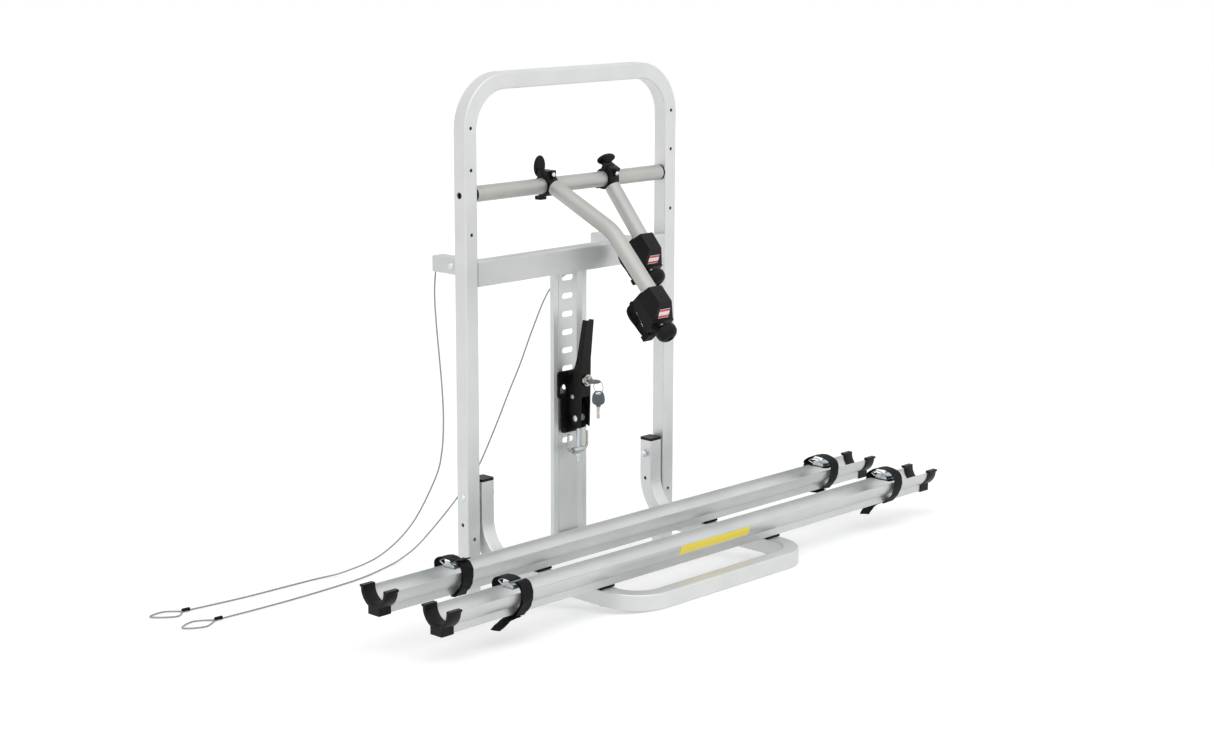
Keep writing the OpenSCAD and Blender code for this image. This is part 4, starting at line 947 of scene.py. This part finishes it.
parts = ((along_y(lathe(knob_profile, 72, lobes), KNOB_Y, KNOB_Z), 0),
         (along_y(lathe([(0, 1), (0.1, 5.5), (0.6, 5.5), (0.6, 2)]), CORE_Y, KNOB_Z), 1),
         # A thin near-black slab in the keyhole's place: painted shade of the slit.
         (slab((-0.6, CORE_Y + 0.3, KNOB_Z - 3.1), (0.6, CORE_Y + 1, KNOB_Z + 3.1)), 2),
         (along_y(lathe([(0, 3.4), (0.6, 4.0), (26, 4.0)], 28), STUD_Y, KNOB_Z), 3))
for i in (0, 1):
    knob = united(nth("locking_knob", i), [black_nylon, black_rubber, keyhole_painted_shade, zinc],
                  *parts, place=claw_place(i), angle=50)
    belongs(knob, nth("claw_knob", i), "black_plastic", nth("claw_knob", i))

# %% [markdown]
# ## The clamp knobs
# The arms slide along the round bar when their clamps are loosened. Each clamp
# has a bolt with an oval, dished wing behind it. The bolt's bright end shows in
# front, in a black hexagon. The two wings stand as the photograph shows them.

# %% Clamp knobs
LUG_LEAN, LUG_RISE = -24.4, 21
WINGS = ((4.0, 12.0, 13.0, 20.0, 4), (6.0, 7.0, 10.5, 22.0, 84))
dish = lathe([(-2.6, 0.2), (-2.9, 0.62), (-3.0, 0.84), (-2.5, 0.96), (-1.1, 1.0), (1.1, 1.0),
              (2.6, 0.95), (3.0, 0.86), (2.4, 0.76), (1.2, 0.6), (0.7, 0.2)], 56)
neck = along_y(lathe([(0, 5.2), (1, 5.4), (4, 5.0), (8.5, 5.4)]), 13.1, 0)
hexagon = along_y(lathe([(0, 5.0), (0.8, 5.77), (5.0, 5.77)], 6), -18.1, 0)
bolt = along_y(lathe([(0, 2.2), (0.3, 3.4), (1.0, 4.2), (1.8, 4.2), (2.0, 3.0), (31, 3.0)], 28),
               -19.6, 0)
for i, (aside, over, wide, tall, degrees) in enumerate(WINGS):
    place = arm_place(i) @ turned("X", LUG_LEAN) @ shifted(0, 0, LUG_RISE)
    wing = moved(dish, shifted(aside, 23.2, over) @ turned("Y", degrees)
                 @ Matrix.Diagonal((wide, 1, tall, 1)) @ turned("Z", 90))
    arm = slab((-4, 20.8, 0), (aside + 4, 25.0, 0.8 * over))
    knob = baked(bevelled(united(nth("wing_knob", i), [black_nylon, zinc], (wing, 0), (neck, 0),
                                 (arm, 0), (hexagon, 0), (bolt, 1), place=place), 0.5, angle=45))
    belongs(knob, nth("clamp_knob", i), "black_plastic", nth("clamp_knob", i))

# %% [markdown]
# ## Keys and ring
# The lock's key has an oval plastic bow with a plated blade, and its twin hangs
# from a thin ring. A plate with a hole is two loops of points, front and back,
# joined by walls, so that its rim can be rounded.

# %% Parts of a key
def plate_with_hole(outer, hole, t):
    """A plate in X and Z, its thickness along Y; both loops have as many points."""
    n = len(outer)
    points = [Vector((x, y, z)) for y in (-t / 2, t / 2) for loop in (outer, hole) for x, z in loop]
    faces = []
    for k in range(n):
        j = (k + 1) % n
        faces += [(k, j, n + j, n + k), (2 * n + k, 3 * n + k, 3 * n + j, 2 * n + j),
                  (k, 2 * n + k, 2 * n + j, j), (n + k, n + j, 3 * n + j, 3 * n + k)]
    return points, faces


def oval(cz, rx, rz, power=2.0, drop=0.0):
    """A loop from round (power 2) to square; drop narrows its upper end."""
    loop = []
    for k in range(40):
        c, s = math.cos(TURN * k / 40), math.sin(TURN * k / 40)
        x = rx * math.copysign(abs(c) ** (2 / power), c)
        z = rz * math.copysign(abs(s) ** (2 / power), s)
        loop.append((x * (1 - drop * z / rz), cz + z))
    return loop


def blade(length, width, t, top):
    """A blade that runs down from top, with cuts along one edge."""
    cuts = [0, 1.0, 0.2, 1.4, 0.6, 1.8, 0.4, 1.1, 0]
    step = length / (len(cuts) + 1)
    edge = [(width / 2 - cut, top - step * (k + 1)) for k, cut in enumerate(cuts)]
    outline = [(-width / 2, top), (width / 2, top), *edge, (0.6, top - length),
               (-width / 2, top - length + 1.5)]
    return prism(outline, -t / 2, t / 2, axis=1)

# %% [markdown]
# ## The key in the lock and its twin
# The first key stands straight in the lock, with the lock's turning core round
# its blade. The spare one hangs down, turned a little on the ring.

# %% Two keys
LOCK_Z, BOW_Y = 382.0, -49.2
key_at = shifted(0, BOW_Y, LOCK_Z) @ turned("X", 90)
bow = plate_with_hole(oval(0, 11.6, 10.9, power=2.4), oval(3.6, 3.8, 3.4), 4.0)
collar = slab((-4.6, -1.4, -13.0), (4.6, 1.4, -9.6))
core = along_y(lathe([(0, 4.6), (0.5, 5.9), (16, 5.9), (16.4, 5.0)]), -36.9, LOCK_Z)
key_parts = [(moved(bow, key_at), 0), (moved(collar, key_at), 0),
             (moved(blade(16, 7, 2, -9.0), key_at), 1), (core, 1)]
spare_at = shifted(0, -60.0, 361.7) @ turned("Z", -44)
spare_bow = plate_with_hole(oval(-9, 11.8, 13.6, power=2.7, drop=0.12), oval(0.2, 5.2, 2.5), 3.0)
spare_parts = [(spare_bow, 0), (slab((-4.6, -1.3, -25.5), (4.6, 1.3, -21.5)), 0),
               (blade(25, 6.6, 1.8, -24.0), 1)]
for name, solid, parts, place in (("key_in_lock", "key", key_parts, Matrix.Identity(4)),
                                  ("spare_key_on_ring", "spare_key", spare_parts, spare_at)):
    key = baked(bevelled(united(name, [grey_abs, nickel], *parts, place=place), 0.5))
    belongs(key, solid, "grey_plastic", solid)

# %% [markdown]
# ## The pull rod's thread, from Geometry Nodes
# The rod is a six millimetre bolt whose thread has a pitch of 1.2 millimetres. A
# Curve Spiral with one turn for each pitch carries a small round profile, which
# leaves the crests of the thread on the rod.

# %% Thread
thread_tree, given = new_tree("thread", ("Radius", "Height", "Turns", "Crest"))
spiral = result(thread_tree, "GeometryNodeCurveSpiral",
                {"Resolution": 14, "Rotations": given["Turns"], "Start Radius": given["Radius"],
                 "End Radius": given["Radius"], "Height": given["Height"]})
crest = result(thread_tree, "GeometryNodeCurvePrimitiveCircle",
               {"Resolution": 5, "Radius": given["Crest"]})
tube = result(thread_tree, "GeometryNodeCurveToMesh",
              {"Curve": spiral, "Profile Curve": crest, "Fill Caps": True})
thread = grown("rod_thread", ended(thread_tree, tube, given["Finish"]), zinc,
               shifted(0, -6, 224.6), Radius=2.85, Height=74.0, Turns=60.0, Crest=0.36)
thread.data.shade_smooth()
belongs(thread, "pull_rod", "zinc")

# %% [markdown]
# ## The yellow label
# A strip of yellow film lies on the outer curve of the front rail. It is left
# bare. Its two skins follow the rail's radius, a sixth of a millimetre apart.

# %% Label
def film_on_rail(x0, x1, z_high, z_low, count=12):
    a0, a1 = (math.asin((RAIL_Z - z) / RAIL_R) for z in (z_high, z_low))
    points, faces = [], []
    for r in (RAIL_R + 0.06, RAIL_R + 0.22):
        for k in range(count + 1):
            a = a0 + (a1 - a0) * k / count
            points += [Vector((x, RAIL_Y[0] - r * math.cos(a), RAIL_Z - r * math.sin(a)))
                       for x in (x0, x1)]
    n = 2 * (count + 1)
    for a in range(0, 2 * count, 2):
        faces += [(a, a + 1, a + 3, a + 2), (n + a, n + a + 2, n + a + 3, n + a + 1),
                  (a, a + 2, n + a + 2, n + a), (a + 1, n + a + 1, n + a + 3, a + 3)]
    faces += [(0, n, n + 1, 1), (n - 2, n - 1, 2 * n - 1, 2 * n - 2)]
    return points, faces


label = united("bare_yellow_label", [yellow_film], (film_on_rail(-54, 135, 129.5, 112), 0),
               place=Matrix.Identity(4))
belongs(label, "platform", "anodised")

# %% [markdown]
# ## Turned lines on the round bar
# The round bar shows a faint turned line near each end, where it enters its
# plug. Each is a thin ring that stands a little above the bar's surface.

# %% End rings
for name, s in (("bar_line_left", -1), ("bar_line_right", 1)):
    x0, x1 = sorted((s * 230.0, s * 228.8))
    line = lathe([(x0, 14.4), (x0, 14.68), (x1, 14.68), (x1, 14.4)], 48, hollow=True)
    ring = united(name, [alu_round], (line, 0), place=shifted(0, BAR_Y, BAR_Z))
    belongs(ring, "frame", "round_tube")

# %% [markdown]
# ## The floor
# The rack leans a little on the platform's front bar, so the floor is flat
# behind the legs and rises in front of them until it meets that bar. Its shading
# ignores the fold. It glows a little for the camera and for mirror-like rays,
# which keeps it white under the rack without any light on the metal.

# %% Floor
BAR_UNDERSIDE, BAR_REACH = 56.0, 390.0
WIDE, DEEP, NEAR = 7, 7, 6
front_z = NEAR * (BAR_UNDERSIDE / BAR_REACH)
floor_mesh = bpy.data.meshes.new("floor")
floor_mesh.from_pydata([(-WIDE, 0, 0), (WIDE, 0, 0), (WIDE, DEEP, 0), (-WIDE, DEEP, 0),
                        (-WIDE, -NEAR, front_z), (WIDE, -NEAR, front_z)], [],
                       [(0, 1, 2, 3), (4, 5, 1, 0)])
floor = in_scene("floor", floor_mesh)
floor_finish, tree = new_finish("matt_white_floor")
upright = result(tree, "ShaderNodeCombineXYZ", {2: 1.0})
rays = add(tree, "ShaderNodeLightPath").outputs
seen = maths(tree, "MAXIMUM", rays["Is Camera Ray"], rays["Is Glossy Ray"])
floor_mesh.materials.append(surface(floor_finish, {
    "Base Color": colour("F2F2F2"), "Roughness": 0.9, "Specular IOR Level": 0.1,
    "Normal": upright, "Emission Color": (1, 1, 1, 1),
    "Emission Strength": maths(tree, "MULTIPLY", seen, 0.3)}))
print("floor rises to", round(front_z, 2), "m in front")

# %% [markdown]
# ## Light and background
# Two wide suns, a strong one from above the left and a weak one from low on the
# right, light all of the floor alike. The background is white for the camera;
# what the rack itself receives and mirrors is dimmer, so pale metal keeps its
# tone.

# %% Light and background
def wide_sun(name, comes_from, spread, strength):
    """An even lamp without falloff; a wide spread gives soft shadows."""
    data = bpy.data.lights.new(name, "SUN")
    data.angle = math.radians(spread)
    data.energy = strength
    light = in_scene(name, data)
    light.rotation_euler = Vector(comes_from).to_track_quat("Z", "Y").to_euler()
    return light


lamps = [wide_sun("soft_key", (-0.5, -0.45, 1.0), 80, 0.8),
         wide_sun("soft_fill", (0.7, -0.9, 0.35), 90, 0.35)]
world = bpy.data.worlds.new("studio")
bpy.context.scene.world = world
world.use_nodes = True
sky = world.node_tree
sky.nodes.clear()
rays = add(sky, "ShaderNodeLightPath").outputs
shown = maths(sky, "MAXIMUM", rays["Is Camera Ray"], rays["Is Transmission Ray"])
direction = add(sky, "ShaderNodeTexCoord").outputs["Generated"]
height = add(sky, "ShaderNodeSeparateXYZ", {0: direction}).outputs[2]
mirrored = between(sky, height, 0.92, 0.98, -0.4, 0.7)
unseen = result(sky, "ShaderNodeMix", {0: rays["Is Glossy Ray"], 2: 0.66, 3: mirrored})
strength = result(sky, "ShaderNodeMix", {0: shown, 2: unseen, 3: 1.0})
ground = result(sky, "ShaderNodeBackground", {"Color": (1, 1, 1, 1), "Strength": strength})
add(sky, "ShaderNodeOutputWorld", {"Surface": ground})
bpy.context.scene.view_settings.view_transform = "Standard"
print("lamps:", len(lamps))
